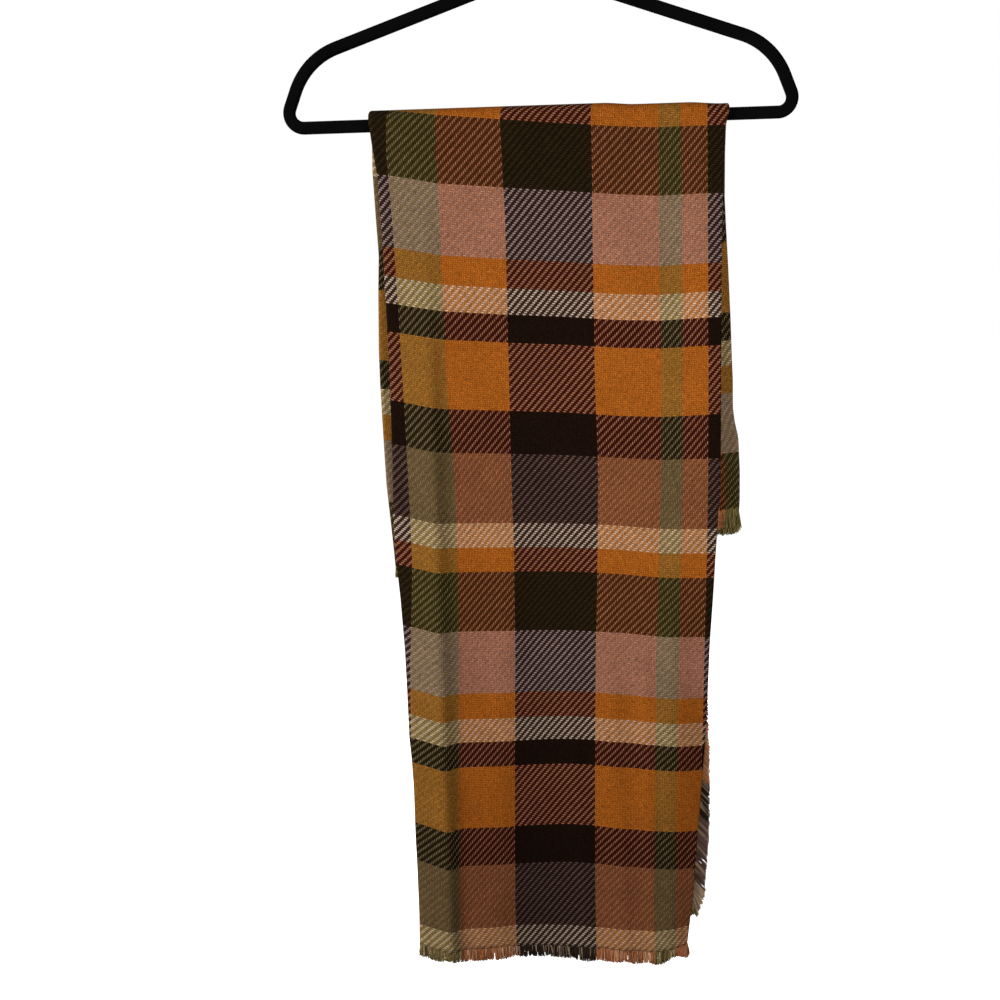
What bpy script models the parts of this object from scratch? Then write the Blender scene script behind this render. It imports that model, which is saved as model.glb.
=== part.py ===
"""Blanket scarf, folded lengthwise in four layers and hung over the bar of a plain hanger.

The row frame has X to the right as seen from the front, Y away from the viewer and Z up. The
origin is the inside top of the hanger's hook, where a rail holds it. Metres throughout.
"""

import math

import bmesh
import bpy

MM = 0.001

# Hanger: a closed flat frame of one section, with a wire hook in its apex
BAR_TOP = -200.0 * MM  # the bar's upper face, below the hook's inside top
BAR_HIGH = 10.8 * MM
FRAME_DEEP = 6.0 * MM
FRAME_ROUND = 2.6 * MM
APEX_Z = -82.0 * MM
APEX_BEND = 24.0 * MM
FRAME_CORNERS = (  # x, z, bend radius of the right half's corners, centre line, mm
    (200.4, -149.4, 60.0),
    (223.2, -205.4, 12.1),
)
BEND_STEPS = 9  # in each corner of the frame
SECTION_STEPS = 3  # in each corner of its section
WIRE_RADIUS = 1.8 * MM
HOOK_INSIDE = 20.0 * MM
HOOK_FROM_DEG = -52.0  # where the shank's bend joins the ring, from the ring's right side
HOOK_TO_DEG = 202.0
WIRE_SIDES = 12
RING_STEPS = 30
SHANK_STEPS = 8
COLLAR_RADIUS = 4.4 * MM
COLLAR_SIDES = 20
COLLAR_TOP = -66.0 * MM
COLLAR_FOOT = -76.2 * MM
SHANK_BEND_Z = -50.0 * MM
SHANK_BEND_PULL = 7.5 * MM

# Cloth: one sheet, folded so that layers 1 (face), 2, 3 and 4 (rear, next to the bar) lie flat
WALL = 1.5 * MM
GAP = 0.3 * MM
LEVEL = WALL + GAP  # from one layer's middle to the next
REST = GAP + WALL / 2  # the rear layer's middle, off the bar
BAR_NOSE = FRAME_DEEP / 2  # the cloth turns over the bar on this radius
FACET_ROOM = 0.25 * MM  # extra room between faceted layers, whose flats differ a little
STEP_START = 22.0 * MM  # past an inner selvedge, the layers over it sink by one level
STEP_RUN = 30.0 * MM
FOLD_INSET = 4.0 * MM  # the inner layers' fold, inside the outer fold
FOLD_EASE = 1.0 * MM  # how far the inner layers' fold is rounded off
CURL_BACK = 9.0 * MM  # how far the face is turned under at the right fold
INNER_LIFT = 6.0 * MM  # the inner layers' hem, above the face's
HEM_FRINGE = 15.0 * MM
HEM_FRINGE_TIP = 0.7 * MM  # the fringe's thickness at its tips
FACE_FRINGE_INSET = 3.0 * MM  # where the face's fringe starts, inside the left fold
INNER_FRINGE_INSETS = (6.0 * MM, 14.0 * MM)  # the same for the inner layers, left and right
REAR_FRINGE_INSET = 1.0 * MM  # the rear layer's fringe stops short of its selvedge
THIRD_CLEAR = 2.0 * MM  # past the third layer's selvedge, where the second starts to sink
BEND_LIMIT = 0.5  # least cosine by which a wall's side is drawn out at a bend
SIDE_FRINGE = 8.5 * MM
SIDE_FRINGE_THICK = 1.2 * MM
SEAM_AT_TOP = 0.15 * MM  # half the seam between the front drop and the back drop

# Outline of the front drop, mm: height, left fold, right fold, rear layer's selvedge,
# third layer's selvedge, and how far the shallow waves stand forward
FRONT_ROWS = (
    (-200.0, -147.0, 161.0, 104.0, 30.0, 0.0),
    (-240.0, -144.0, 158.0, 105.0, 32.0, 0.0),
    (-320.0, -142.0, 155.5, 108.0, 38.0, 0.4),
    (-420.0, -141.5, 154.8, 113.0, 46.0, 1.6),
    (-520.0, -142.0, 154.0, 119.0, 54.0, 2.8),
    (-600.0, -142.5, 148.5, 124.0, 62.0, 3.6),
    (-680.0, -139.5, 143.5, 128.5, 76.0, 4.4),
    (-760.0, -138.5, 139.5, 132.5, 90.0, 5.2),
    (-840.0, -137.5, 133.0, 134.0, 101.0, 6.0),
    (-900.0, -137.5, 128.8, 133.0, 108.0, 6.4),
    (-945.0, -138.5, 125.5, 130.0, 112.0, 6.6),
    (-985.0, -139.5, 121.0, 128.0, 114.0, 6.6),
)
BACK_ROWS = (
    (-200.0, -147.0, 161.0, 104.0, 30.0, 0.0),
    (-260.0, -149.0, 161.0, 98.0, 24.0, 0.3),
    (-340.0, -148.6, 164.0, 91.0, 16.0, 0.8),
    (-420.0, -151.0, 168.0, 84.0, 8.0, 1.4),
    (-500.0, -150.8, 173.5, 78.0, 2.0, 2.0),
    (-560.0, -148.0, 173.5, 74.0, -4.0, 2.4),
    (-600.0, -147.0, 172.0, 72.0, -6.0, 2.6),
)
# Hem heights along each layer, mm: x, height
FRONT_FACE_HEM = ((-140, -970), (-110, -975), (-50, -976), (30, -982), (90, -986), (122, -981))
FRONT_REAR_HEM = ((-140, -970), (-60, -964), (40, -953), (131, -940))
BACK_FACE_HEM = ((-148, -598), (-60, -588), (60, -572), (172, -556))
BACK_REAR_HEM = ((-148, -598), (-60, -603), (72, -611))

WAVE_LENGTH = 197.0 * MM
WAVE_VALLEY = -3.0 * MM

TURN_STEPS = 5  # rows over the bar's nose, for each drop
FRONT_DROP_ROWS = 17
BACK_DROP_ROWS = 9
FACE_COLUMNS = 15
FOLD_STEPS = 5
SHARP_DEG = 40.0

FLOCK = ("flock", (0.012, 0.011, 0.012), 0.9, 0.0)
CHROME = ("hook_metal", (0.62, 0.62, 0.64), 0.25, 1.0)
CLOTH = ("scarf_cloth", (0.36, 0.15, 0.04), 0.95, 0.0)
THREAD = ("fringe_thread", (0.3, 0.16, 0.07), 0.95, 0.0)


def clear_scene():
    for obj in list(bpy.data.objects):
        bpy.data.objects.remove(obj, do_unlink=True)


def material(spec):
    name, colour, rough, metal = spec
    found = bpy.data.materials.get(name)
    if found:
        return found
    made = bpy.data.materials.new(name)
    made.use_nodes = True
    shader = made.node_tree.nodes["Principled BSDF"]
    shader.inputs["Base Color"].default_value = (*colour, 1.0)
    shader.inputs["Roughness"].default_value = rough
    shader.inputs["Metallic"].default_value = metal
    made.diffuse_color = (*colour, 1.0)
    return made


def add_mesh(name, points, faces, spec):
    mesh = bpy.data.meshes.new(name)
    mesh.from_pydata(points, [], faces)
    mesh.update()
    obj = bpy.data.objects.new(name, mesh)
    bpy.context.scene.collection.objects.link(obj)
    mesh.materials.append(material(spec))
    mesh.shade_smooth()
    mesh.set_sharp_from_angle(angle=math.radians(SHARP_DEG))
    return obj


def between(table, z, column):
    """One column of a table whose first column is a falling height, in metres at height z."""
    z = z / MM
    if z >= table[0][0]:
        return table[0][column] * MM
    for high, low in zip(table, table[1:]):
        if z >= low[0]:
            part = (high[0] - z) / (high[0] - low[0])
            return (high[column] + part * (low[column] - high[column])) * MM
    return table[-1][column] * MM


def along(table, x):
    """The second column of a table whose first column is a rising x, eased between its rows."""
    x = x / MM
    if x <= table[0][0]:
        return table[0][1] * MM
    for left, right in zip(table, table[1:]):
        if x <= right[0]:
            part = (x - left[0]) / (right[0] - left[0])
            return (left[1] + part * (right[1] - left[1])) * MM
    return table[-1][1] * MM


def smooth(value):
    value = min(max(value, 0.0), 1.0)
    return value * value * (3.0 - 2.0 * value)


def loft(name, rings, spec):
    """A closed solid through rings of equally many points, with both ends filled."""
    count = len(rings[0])
    points = [p for ring in rings for p in ring]
    faces = []
    for row in range(len(rings) - 1):
        a = row * count
        b = a + count
        for i in range(count):
            j = (i + 1) % count
            faces.append((a + i, a + j, b + j, b + i))
    last = (len(rings) - 1) * count
    half = count // 2
    for i in range(half - 1):
        j = count - 1 - i
        faces.append((i + 1, i, j, j - 1))
        faces.append((last + i, last + i + 1, last + j - 1, last + j))
    return add_mesh(name, points, faces, spec)


# ---- Hanger ----------------------------------------------------------------------------------


def bend(before, corner, after, radius, steps):
    """Points of an arc that rounds a corner of a flat path."""
    ax, az = before[0] - corner[0], before[1] - corner[1]
    bx, bz = after[0] - corner[0], after[1] - corner[1]
    la, lb = math.hypot(ax, az), math.hypot(bx, bz)
    ax, az, bx, bz = ax / la, az / la, bx / lb, bz / lb
    half = math.acos(max(-1.0, min(1.0, ax * bx + az * bz))) / 2
    reach = radius / math.tan(half)
    mx, mz = ax + bx, az + bz
    ml = math.hypot(mx, mz)
    cx = corner[0] + mx / ml * radius / math.sin(half)
    cz = corner[1] + mz / ml * radius / math.sin(half)
    start = math.atan2(corner[1] + az * reach - cz, corner[0] + ax * reach - cx)
    end = math.atan2(corner[1] + bz * reach - cz, corner[0] + bx * reach - cx)
    turn = (end - start + math.pi) % (2 * math.pi) - math.pi
    out = []
    for k in range(steps + 1):
        angle = start + turn * k / steps
        out.append((cx + radius * math.cos(angle), cz + radius * math.sin(angle)))
    return out


def round_section(half_high, half_deep, radius, steps):
    """A rounded rectangle as (across the path, along Y)."""
    out = []
    corners = ((1, 1, 0), (-1, 1, 90), (-1, -1, 180), (1, -1, 270))
    for sx, sy, start in corners:
        for k in range(steps + 1):
            angle = math.radians(start + 90 * k / steps)
            x = sx * (half_high - radius) + radius * math.cos(angle)
            y = sy * (half_deep - radius) + radius * math.sin(angle)
            out.append((x, y))
    return out


def sweep_flat(path, section, closed):
    """Rings of a section carried along a path that lies in the XZ plane."""
    rings = []
    count = len(path)
    for i, (x, z) in enumerate(path):
        if closed:
            before, after = path[i - 1], path[(i + 1) % count]
        else:
            before, after = path[max(i - 1, 0)], path[min(i + 1, count - 1)]
        dx, dz = after[0] - before[0], after[1] - before[1]
        length = math.hypot(dx, dz)
        nx, nz = -dz / length, dx / length
        rings.append([(x + nx * a, y, z + nz * a) for a, y in section])
    return rings


def tube_mesh(name, rings, closed, spec):
    count = len(rings[0])
    points = [p for ring in rings for p in ring]
    faces = []
    rows = len(rings) if closed else len(rings) - 1
    for row in range(rows):
        a = row * count
        b = ((row + 1) % len(rings)) * count
        for i in range(count):
            j = (i + 1) % count
            faces.append((a + i, b + i, b + j, a + j))
    if not closed:
        faces.append(tuple(range(count)))
        faces.append(tuple((len(rings) - 1) * count + i for i in reversed(range(count))))
    return add_mesh(name, points, faces, spec)


def circle(radius, sides):
    turns = [2 * math.pi * k / sides for k in range(sides)]
    return [(radius * math.cos(a), radius * math.sin(a)) for a in turns]


def hanger_frame():
    right = [(x * MM, z * MM, r * MM) for x, z, r in FRAME_CORNERS]
    left = [(-x, z, r) for x, z, r in reversed(right)]
    corners = [(0.0, APEX_Z, APEX_BEND)] + right + left
    path = []
    for i, (x, z, r) in enumerate(corners):
        before = corners[i - 1]
        after = corners[(i + 1) % len(corners)]
        path += bend(before, (x, z), after, r, BEND_STEPS)
    section = round_section(BAR_HIGH / 2, FRAME_DEEP / 2, FRAME_ROUND, SECTION_STEPS)
    return tube_mesh("hanger_frame", sweep_flat(path, section, True), True, FLOCK)


def hook_path():
    ring = HOOK_INSIDE + WIRE_RADIUS
    centre_z = -HOOK_INSIDE
    path = [(0.0, COLLAR_TOP + GAP), (0.0, (COLLAR_TOP + SHANK_BEND_Z) / 2)]
    join = math.radians(HOOK_FROM_DEG)
    start = (0.0, SHANK_BEND_Z)
    end = (ring * math.cos(join), centre_z + ring * math.sin(join))
    pull = SHANK_BEND_PULL
    lead = (start[0], start[1] + pull)
    trail = (end[0] + pull * math.sin(join), end[1] - pull * math.cos(join))
    for k in range(SHANK_STEPS + 1):
        t = k / SHANK_STEPS
        a, b, c, d = (1 - t) ** 3, 3 * t * (1 - t) ** 2, 3 * t * t * (1 - t), t**3
        x = a * start[0] + b * lead[0] + c * trail[0] + d * end[0]
        z = a * start[1] + b * lead[1] + c * trail[1] + d * end[1]
        path.append((x, z))
    for k in range(1, RING_STEPS + 1):
        angle = math.radians(HOOK_FROM_DEG + (HOOK_TO_DEG - HOOK_FROM_DEG) * k / RING_STEPS)
        path.append((ring * math.cos(angle), centre_z + ring * math.sin(angle)))
    return path


def hanger_hook():
    section = circle(WIRE_RADIUS, WIRE_SIDES)
    return tube_mesh("hanger_hook", sweep_flat(hook_path(), section, False), False, CHROME)


def hanger_collar():
    """A turned collar whose foot stands just clear of the frame's apex."""
    rows = (  # radius share, height share
        (0.62, 0.0),
        (0.92, 0.0),
        (1.0, 0.1),
        (1.0, 0.68),
        (0.8, 0.9),
        (0.5, 1.0),
    )
    rings = []
    for share, part in rows:
        z = COLLAR_FOOT + (COLLAR_TOP - COLLAR_FOOT) * part
        rings.append([(x, y, z) for x, y in circle(COLLAR_RADIUS * share, COLLAR_SIDES)])
    return tube_mesh("hanger_collar", rings, False, CHROME)


# ---- Cloth -----------------------------------------------------------------------------------


class Drop:
    """One side of the folded scarf, from the bar's top line down to its hems."""

    def __init__(self, name, side, rows, face_hem, rear_hem, count):
        self.name = name
        self.side = side  # -1 towards the viewer, +1 away
        self.rows = rows
        self.face_hem = face_hem
        self.rear_hem = rear_hem
        self.count = count

    def columns(self, z):
        return [between(self.rows, z, k) for k in (1, 2, 3, 4)]

    def wave(self, x, z):
        """How far the shallow waves stand out from the flat packet at x, z."""
        reach = between(self.rows, z, 5)
        turn = 2 * math.pi * (x - WAVE_VALLEY) / WAVE_LENGTH
        return reach * 0.5 * (1.0 - math.cos(turn))

    def place(self, x, off, spot):
        """A point off metres out from the bar: at an angle over its nose, or at a height."""
        kind, value = spot
        radius = BAR_NOSE + off
        centre_z = BAR_TOP - BAR_NOSE
        if kind == "turn":
            y = radius * math.sin(value)
            z = centre_z + radius * math.cos(value)
            return (x, self.side * max(y, SEAM_AT_TOP), z)
        return (x, self.side * (radius + self.wave(x, value)), value)

    def stations(self):
        """Where the rows lie: first over the bar's nose, then shares of the drop."""
        out = []
        for k in range(TURN_STEPS + 1):
            out.append(("turn", math.pi / 2 * k / TURN_STEPS))
        for k in range(1, self.count + 1):
            out.append(("drop", k / self.count))
        return out

    def height(self, station, hem_z):
        top = BAR_TOP - BAR_NOSE
        kind, value = station
        return top if kind == "turn" else top + value * (hem_z - top)

    def middle_height(self, station):
        return self.height(station, along(self.face_hem, 0.0))

    def at(self, x, off, station, hem_z):
        if station[0] == "turn":
            return self.place(x, off, station)
        return self.place(x, off, ("drop", self.height(station, hem_z)))

    def sunk(self, x, z):
        """How far the face and second layer sink where the third and rear layers have ended."""
        rear, third = self.columns(z)[2:]
        steps = smooth((x - rear - STEP_START) / STEP_RUN)
        steps += smooth((x - third - STEP_START) / STEP_RUN)
        return LEVEL * steps

    def face_columns(self, z):
        """Where the face's columns stand at height z, from the left fold to the right fold."""
        left, right = self.columns(z)[:2]
        centre = left + WALL / 2 + 1.5 * LEVEL
        end = right - WALL / 2 - LEVEL / 2
        return [centre + (end - centre) * k / FACE_COLUMNS for k in range(FACE_COLUMNS + 1)]

    def rear_columns(self, z):
        """Where the rear layer's columns stand, from its selvedge to the left fold."""
        left, rear = self.columns(z)[0], self.columns(z)[2]
        centre = left + WALL / 2 + 1.5 * LEVEL
        return [rear + (centre - rear) * k / FACE_COLUMNS for k in range(FACE_COLUMNS + 1)]

    def flat_sunk(self, x, z):
        """The same, on the straight line between the face's columns, as the faceted wall is."""
        columns = self.face_columns(z)
        for left, right in zip(columns, columns[1:]):
            if x <= right:
                part = max(0.0, (x - left) / (right - left))
                first, second = self.sunk(left, z), self.sunk(right, z)
                return first + part * (second - first)
        return self.sunk(columns[-1], z)


def thicken(middle, half):
    """Both sides of a polyline of (x, off), half a wall away, as one closed ring."""
    outer, inner = [], []
    last = len(middle) - 1
    for i, (x, off) in enumerate(middle):
        before, after = middle[max(i - 1, 0)], middle[min(i + 1, last)]
        ax, ay = x - before[0], off - before[1]
        bx, by = after[0] - x, after[1] - off
        la, lb = math.hypot(ax, ay) or 1.0, math.hypot(bx, by) or 1.0
        if i == 0:
            ax, ay, la = bx, by, lb
        if i == last:
            bx, by, lb = ax, ay, la
        nx, ny = -(ay / la + by / lb), ax / la + bx / lb
        length = math.hypot(nx, ny)
        nx, ny = nx / length, ny / length
        spread = nx * -ay / la + ny * ax / la
        step = half / max(spread, BEND_LIMIT)
        outer.append((x + nx * step, off + ny * step))
        inner.append((x - nx * step, off - ny * step))
    return outer + inner[::-1]


def outer_section(drop, z):
    """Rear layer, left fold, face and right fold at height z, as (x, off) along the cloth."""
    left, right = drop.columns(z)[:2]
    half = WALL / 2
    low = REST
    high = REST + 3 * LEVEL
    turn = (high - low) / 2
    centre = left + half + turn
    line = []
    for x in drop.rear_columns(z)[:-1]:
        line.append((x, low))
    for k in range(FOLD_STEPS + 1):
        angle = math.pi * k / FOLD_STEPS
        line.append((centre - turn * math.sin(angle), low + turn * (1 - math.cos(angle))))
    small = LEVEL / 2
    end = right - half - small
    for x in drop.face_columns(z)[1:]:
        line.append((x, high - drop.sunk(x, z)))
    at_end = high - drop.sunk(end, z)
    for k in range(1, FOLD_STEPS + 1):
        angle = math.pi * k / FOLD_STEPS
        line.append((end + small * math.sin(angle), at_end - small * (1 - math.cos(angle))))
    line.append((end - CURL_BACK, high - LEVEL - drop.flat_sunk(end - CURL_BACK, z)))
    return line


def outer_solid(drop):
    """The one sheet that shows: rear layer, left fold, face and the turn of the right fold."""
    rings = []
    for station in drop.stations():
        middle = outer_section(drop, drop.middle_height(station))
        ring = thicken(middle, WALL / 2)
        points = []
        for i, (x, off) in enumerate(ring):
            index = min(i, len(ring) - 1 - i)
            table = drop.rear_hem if index < FACE_COLUMNS else drop.face_hem
            hem = along(table, middle[index][0])
            points.append(drop.at(x, off, station, hem))
        rings.append(points)
    return loft(drop.name + "_outer", rings, CLOTH)


def inner_section(drop, z):
    """Upper and lower sides of the hidden second and third layers, as one closed ring."""
    left, right, rear, third = drop.columns(z)
    half = WALL / 2
    start = left + FOLD_INSET
    stop = right - half - LEVEL / 2 - CURL_BACK - 2 * GAP
    xs = [start] + drop.face_columns(z)[1:-1] + [stop]
    top, foot = [], []
    for x in xs:
        sunk = drop.flat_sunk(x, z)
        high = REST + 2 * LEVEL + half - sunk - FACET_ROOM
        past = smooth((x - third - THIRD_CLEAR) / STEP_RUN)
        low_gone = smooth((x - rear - STEP_START) / STEP_RUN)
        low = REST + LEVEL - half + LEVEL * past
        thin = high - WALL + FACET_ROOM
        low = max(REST + LEVEL - half - LEVEL * low_gone, min(low - sunk, thin))
        top.append((x, high))
        foot.append((x, low))
    high, low = top[0][1], foot[0][1]
    top[0] = (start + FOLD_EASE, high)
    foot[0] = (start + FOLD_EASE, low)
    upper = (start, (high * 2 + low) / 3)
    lower = (start, (high + low * 2) / 3)
    return [upper] + top + foot[::-1] + [lower]


def inner_solid(drop):
    """The hidden second and third layers, as one solid with its hem just above the face's."""
    rings = []
    for station in drop.stations():
        ring = inner_section(drop, drop.middle_height(station))
        points = []
        for x, off in ring:
            hem = along(drop.face_hem, x) + INNER_LIFT
            points.append(drop.at(x, off, station, hem))
        rings.append(points)
    return loft(drop.name + "_inner", rings, CLOTH)


def hem_fringe(name, drop, xs, hem_at, low, high):
    """A plain strip that stands for the loose threads under a hem."""
    rings = []
    level = along(drop.face_hem, 0.0)
    for x in xs:
        z = hem_at(x)
        foot = z - HEM_FRINGE
        sink = drop.flat_sunk(x, level) if high > REST + LEVEL else 0.0
        a = low - sink
        b = high - sink
        mid = (a + b) / 2
        thin = HEM_FRINGE_TIP / 2
        top_z = z - GAP
        ring = [
            drop.place(x, a, ("drop", top_z)),
            drop.place(x, b, ("drop", top_z)),
            drop.place(x, mid + thin, ("drop", foot)),
            drop.place(x, mid - thin, ("drop", foot)),
        ]
        rings.append(ring)
    return loft(name, rings, THREAD)


def drop_fringes(drop):
    half = WALL / 2
    foot_z = along(drop.face_hem, 0.0)
    left, right = drop.columns(foot_z)[:2]
    high = REST + 3 * LEVEL
    columns = drop.face_columns(foot_z)
    xs = [left + FACE_FRINGE_INSET] + columns[1:]
    hem_fringe(drop.name + "_hem_fringe", drop, xs, lambda x: along(drop.face_hem, x),
               high - half, high + half)
    from_left, from_right = INNER_FRINGE_INSETS
    inside = [left + from_left] + columns[1:-1] + [right - from_right]
    hem_fringe(drop.name + "_inner_fringe", drop, inside,
               lambda x: along(drop.face_hem, x) + INNER_LIFT, high - LEVEL - half,
               high - LEVEL + half)
    behind = drop.rear_columns(foot_z)[:-1]
    behind[0] -= REAR_FRINGE_INSET
    hem_fringe(drop.name + "_rear_fringe", drop, behind, lambda x: along(drop.rear_hem, x),
               REST - half, REST + half)


def side_fringe(drop):
    """The rear layer's loose weft ends, along its selvedge below the bar."""
    half = SIDE_FRINGE_THICK / 2
    rings = []
    for station in drop.stations()[TURN_STEPS + 1 :]:
        rear = drop.columns(drop.middle_height(station))[2]
        hem = along(drop.rear_hem, rear)
        root = rear + GAP
        tip = rear + SIDE_FRINGE
        ring = [
            drop.at(root, REST - half, station, hem),
            drop.at(root, REST + half, station, hem),
            drop.at(tip, REST + half / 2, station, hem),
            drop.at(tip, REST - half / 2, station, hem),
        ]
        rings.append(ring)
    return loft(drop.name + "_side_fringe", rings, THREAD)


def face_outwards():
    """Every mesh here is closed, so its faces are turned to point out of it."""
    for obj in bpy.data.objects:
        mesh = bmesh.new()
        mesh.from_mesh(obj.data)
        bmesh.ops.recalc_face_normals(mesh, faces=mesh.faces)
        mesh.to_mesh(obj.data)
        mesh.free()


def main():
    clear_scene()
    hanger_frame()
    hanger_collar()
    hanger_hook()
    front = Drop("front", -1, FRONT_ROWS, FRONT_FACE_HEM, FRONT_REAR_HEM, FRONT_DROP_ROWS)
    back = Drop("back", 1, BACK_ROWS, BACK_FACE_HEM, BACK_REAR_HEM, BACK_DROP_ROWS)
    for drop in (front, back):
        outer_solid(drop)
        inner_solid(drop)
        drop_fringes(drop)
        side_fringe(drop)
    face_outwards()


main()
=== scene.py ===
# %% [markdown]
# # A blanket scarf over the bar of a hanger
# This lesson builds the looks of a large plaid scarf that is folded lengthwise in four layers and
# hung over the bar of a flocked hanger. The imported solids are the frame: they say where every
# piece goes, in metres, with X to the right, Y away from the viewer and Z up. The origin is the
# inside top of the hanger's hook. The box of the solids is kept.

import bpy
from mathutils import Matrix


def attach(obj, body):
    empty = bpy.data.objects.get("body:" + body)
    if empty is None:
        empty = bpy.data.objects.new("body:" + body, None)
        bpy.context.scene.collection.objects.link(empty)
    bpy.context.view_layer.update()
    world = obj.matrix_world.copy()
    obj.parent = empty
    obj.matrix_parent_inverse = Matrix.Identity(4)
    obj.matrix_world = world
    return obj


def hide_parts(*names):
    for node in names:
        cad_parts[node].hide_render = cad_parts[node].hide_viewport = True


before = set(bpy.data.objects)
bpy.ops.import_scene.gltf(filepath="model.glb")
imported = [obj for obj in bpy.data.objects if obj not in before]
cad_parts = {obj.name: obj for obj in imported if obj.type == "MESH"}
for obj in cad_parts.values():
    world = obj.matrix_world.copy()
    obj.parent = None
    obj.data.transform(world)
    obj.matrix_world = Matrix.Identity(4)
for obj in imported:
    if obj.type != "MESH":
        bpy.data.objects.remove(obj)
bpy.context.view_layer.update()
print("packed solids:", ", ".join(sorted(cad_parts)))

# %% Tools
import math

import bpy
import numpy as np
from mathutils import Matrix, Vector, noise

MM = 0.001

# %% [markdown]
# ## Camera
# The scarf was seen from about a metre away, a little to its left and from half way down, with
# the camera tipped down ten degrees and turned two degrees clockwise, which is why the bar seems
# to climb to the right. A camera is turned by Euler angles: 90 degrees about X makes it look
# along Y, less than that tips it down, and the turn about its own axis comes first.

# %% Camera
CAMERA_PLACE = (-0.0469, -1.0295, -0.3585)
CAMERA_DOWN_DEG = 9.88
CAMERA_TURN_DEG = 1.95
SENSOR_MM = 36.0
LENS_MM = 41.08

view_data = bpy.data.cameras.new("view")
view_data.sensor_width = SENSOR_MM
view_data.lens = LENS_MM
view = bpy.data.objects.new("view", view_data)
bpy.context.scene.collection.objects.link(view)
tip = Matrix.Rotation(math.radians(90.0 - CAMERA_DOWN_DEG), 4, "X")
turn = Matrix.Rotation(math.radians(-CAMERA_TURN_DEG), 4, "Z")
view.matrix_world = Matrix.Translation(CAMERA_PLACE) @ tip @ turn
bpy.context.scene.camera = view
print("camera at", CAMERA_PLACE, "lens", LENS_MM, "mm")

# %% [markdown]
# ## Small helpers for node trees
# Shader trees and geometry trees are both filled in the same way: a node is put in, its settings
# are set, and its inputs are fed with a plain value or with another node's output. A few short
# helpers for that keep the later cells readable.

# %% Node helpers
def feed(tree, node, feeds):
    """Feeds a node's inputs, each by a plain value or by another node's output."""
    for key, value in feeds.items():
        if isinstance(value, bpy.types.NodeSocket):
            tree.links.new(value, node.inputs[key])
        else:
            node.inputs[key].default_value = value


def put(tree, kind, feeds=None, **settings):
    """A new node, with its settings and with its inputs fed."""
    made = tree.nodes.new(kind)
    for name, value in settings.items():
        setattr(made, name, value)
    feed(tree, made, feeds or {})
    return made


def calc(tree, operation, *values):
    """The output of a Math node in a shader tree or a geometry tree."""
    return put(tree, "ShaderNodeMath", dict(enumerate(values)), operation=operation).outputs[0]


def shader_group(name, takes, gives):
    """An empty shader group with named sockets, as (tree, inputs, output node)."""
    tree = bpy.data.node_groups.new(name, "ShaderNodeTree")
    for label, kind in takes:
        tree.interface.new_socket(label, in_out="INPUT", socket_type=kind)
    for label, kind in gives:
        tree.interface.new_socket(label, in_out="OUTPUT", socket_type=kind)
    entry = tree.nodes.new("NodeGroupInput")
    leave = tree.nodes.new("NodeGroupOutput")
    return tree, entry.outputs, leave


def finish_named(name):
    """A new material whose Principled BSDF is ready to be fed, as (material, tree, shader)."""
    made = bpy.data.materials.new(name)
    made.use_nodes = True
    return made, made.node_tree, made.node_tree.nodes["Principled BSDF"]


def use_group(tree, group, feeds):
    """A node that holds a shader group."""
    return put(tree, "ShaderNodeGroup", feeds, node_tree=group)


def mixed(tree, part, first, second, blend="MIX"):
    """The colour output of a Mix node."""
    return put(tree, "ShaderNodeMix", {0: part, 6: first, 7: second}, data_type="RGBA",
               blend_type=blend).outputs[2]


def scaled(tree, vector, amount):
    """A vector or a colour times a number."""
    return put(tree, "ShaderNodeVectorMath", {0: vector, "Scale": amount},
               operation="SCALE").outputs[0]


def set_plain(shader, **values):
    """Sets the shader's own sockets, named with _ for each space, to plain values."""
    for name, value in values.items():
        shader.inputs[name.replace("_", " ")].default_value = value


print("helpers ready")

# %% [markdown]
# ## Studio
# The object hangs in the air before plain white, so the stage is one wide pale floor under it and
# a pale world. The camera sees the world as pure white, but as a lamp it is kept low: an evenly
# white world would wash out every fold. Half of the light rakes in from the upper left, so that a
# slope that faces right goes dark. A small near lamp, between the camera and the scarf and to the
# right, does the rest. Both are near enough that the hem gets less light than the bar. Two weaker
# lamps light the back. The floor
# is only seen: it lights nothing, or it would glow up under the hem.

# %% Floor and world
FLOOR_Z = -1.32
FLOOR_SIDE = 40.0
FLOOR_GLOW = 1.0
WHITE = (1.0, 1.0, 1.0, 1.0)

floor_mesh = bpy.data.meshes.new("floor")
half_floor = FLOOR_SIDE / 2
floor_corners = [(x * half_floor, y * half_floor, FLOOR_Z)
                 for x, y in ((-1, -1), (1, -1), (1, 1), (-1, 1))]
floor_mesh.from_pydata(floor_corners, [], [(0, 1, 2, 3)])
floor = bpy.data.objects.new("floor", floor_mesh)
bpy.context.scene.collection.objects.link(floor)
floor_finish, floor_tree, floor_shader = finish_named("pale_floor")
set_plain(floor_shader, Base_Color=(0.86, 0.86, 0.86, 1.0), Roughness=0.9, Emission_Color=WHITE,
          Emission_Strength=FLOOR_GLOW)
floor_mesh.materials.append(floor_finish)
floor.visible_diffuse = False
floor.visible_glossy = False

WORLD_SEEN = 1.0
WORLD_LIGHT = 0.06
world = bpy.data.worlds.new("studio")
bpy.context.scene.world = world
world.use_nodes = True
world_tree = world.node_tree
backdrop = world_tree.nodes["Background"]
seen = put(world_tree, "ShaderNodeLightPath").outputs["Is Camera Ray"]
strength = put(world_tree, "ShaderNodeMapRange",
               {"Value": seen, "To Min": WORLD_LIGHT, "To Max": WORLD_SEEN})
feed(world_tree, backdrop, {"Color": WHITE, "Strength": strength.outputs[0]})
bpy.context.scene.view_settings.view_transform = "Standard"
print("floor", FLOOR_SIDE, "m wide at", FLOOR_Z, "m, world seen at", WORLD_SEEN, "and lighting at",
      WORLD_LIGHT)

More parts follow.
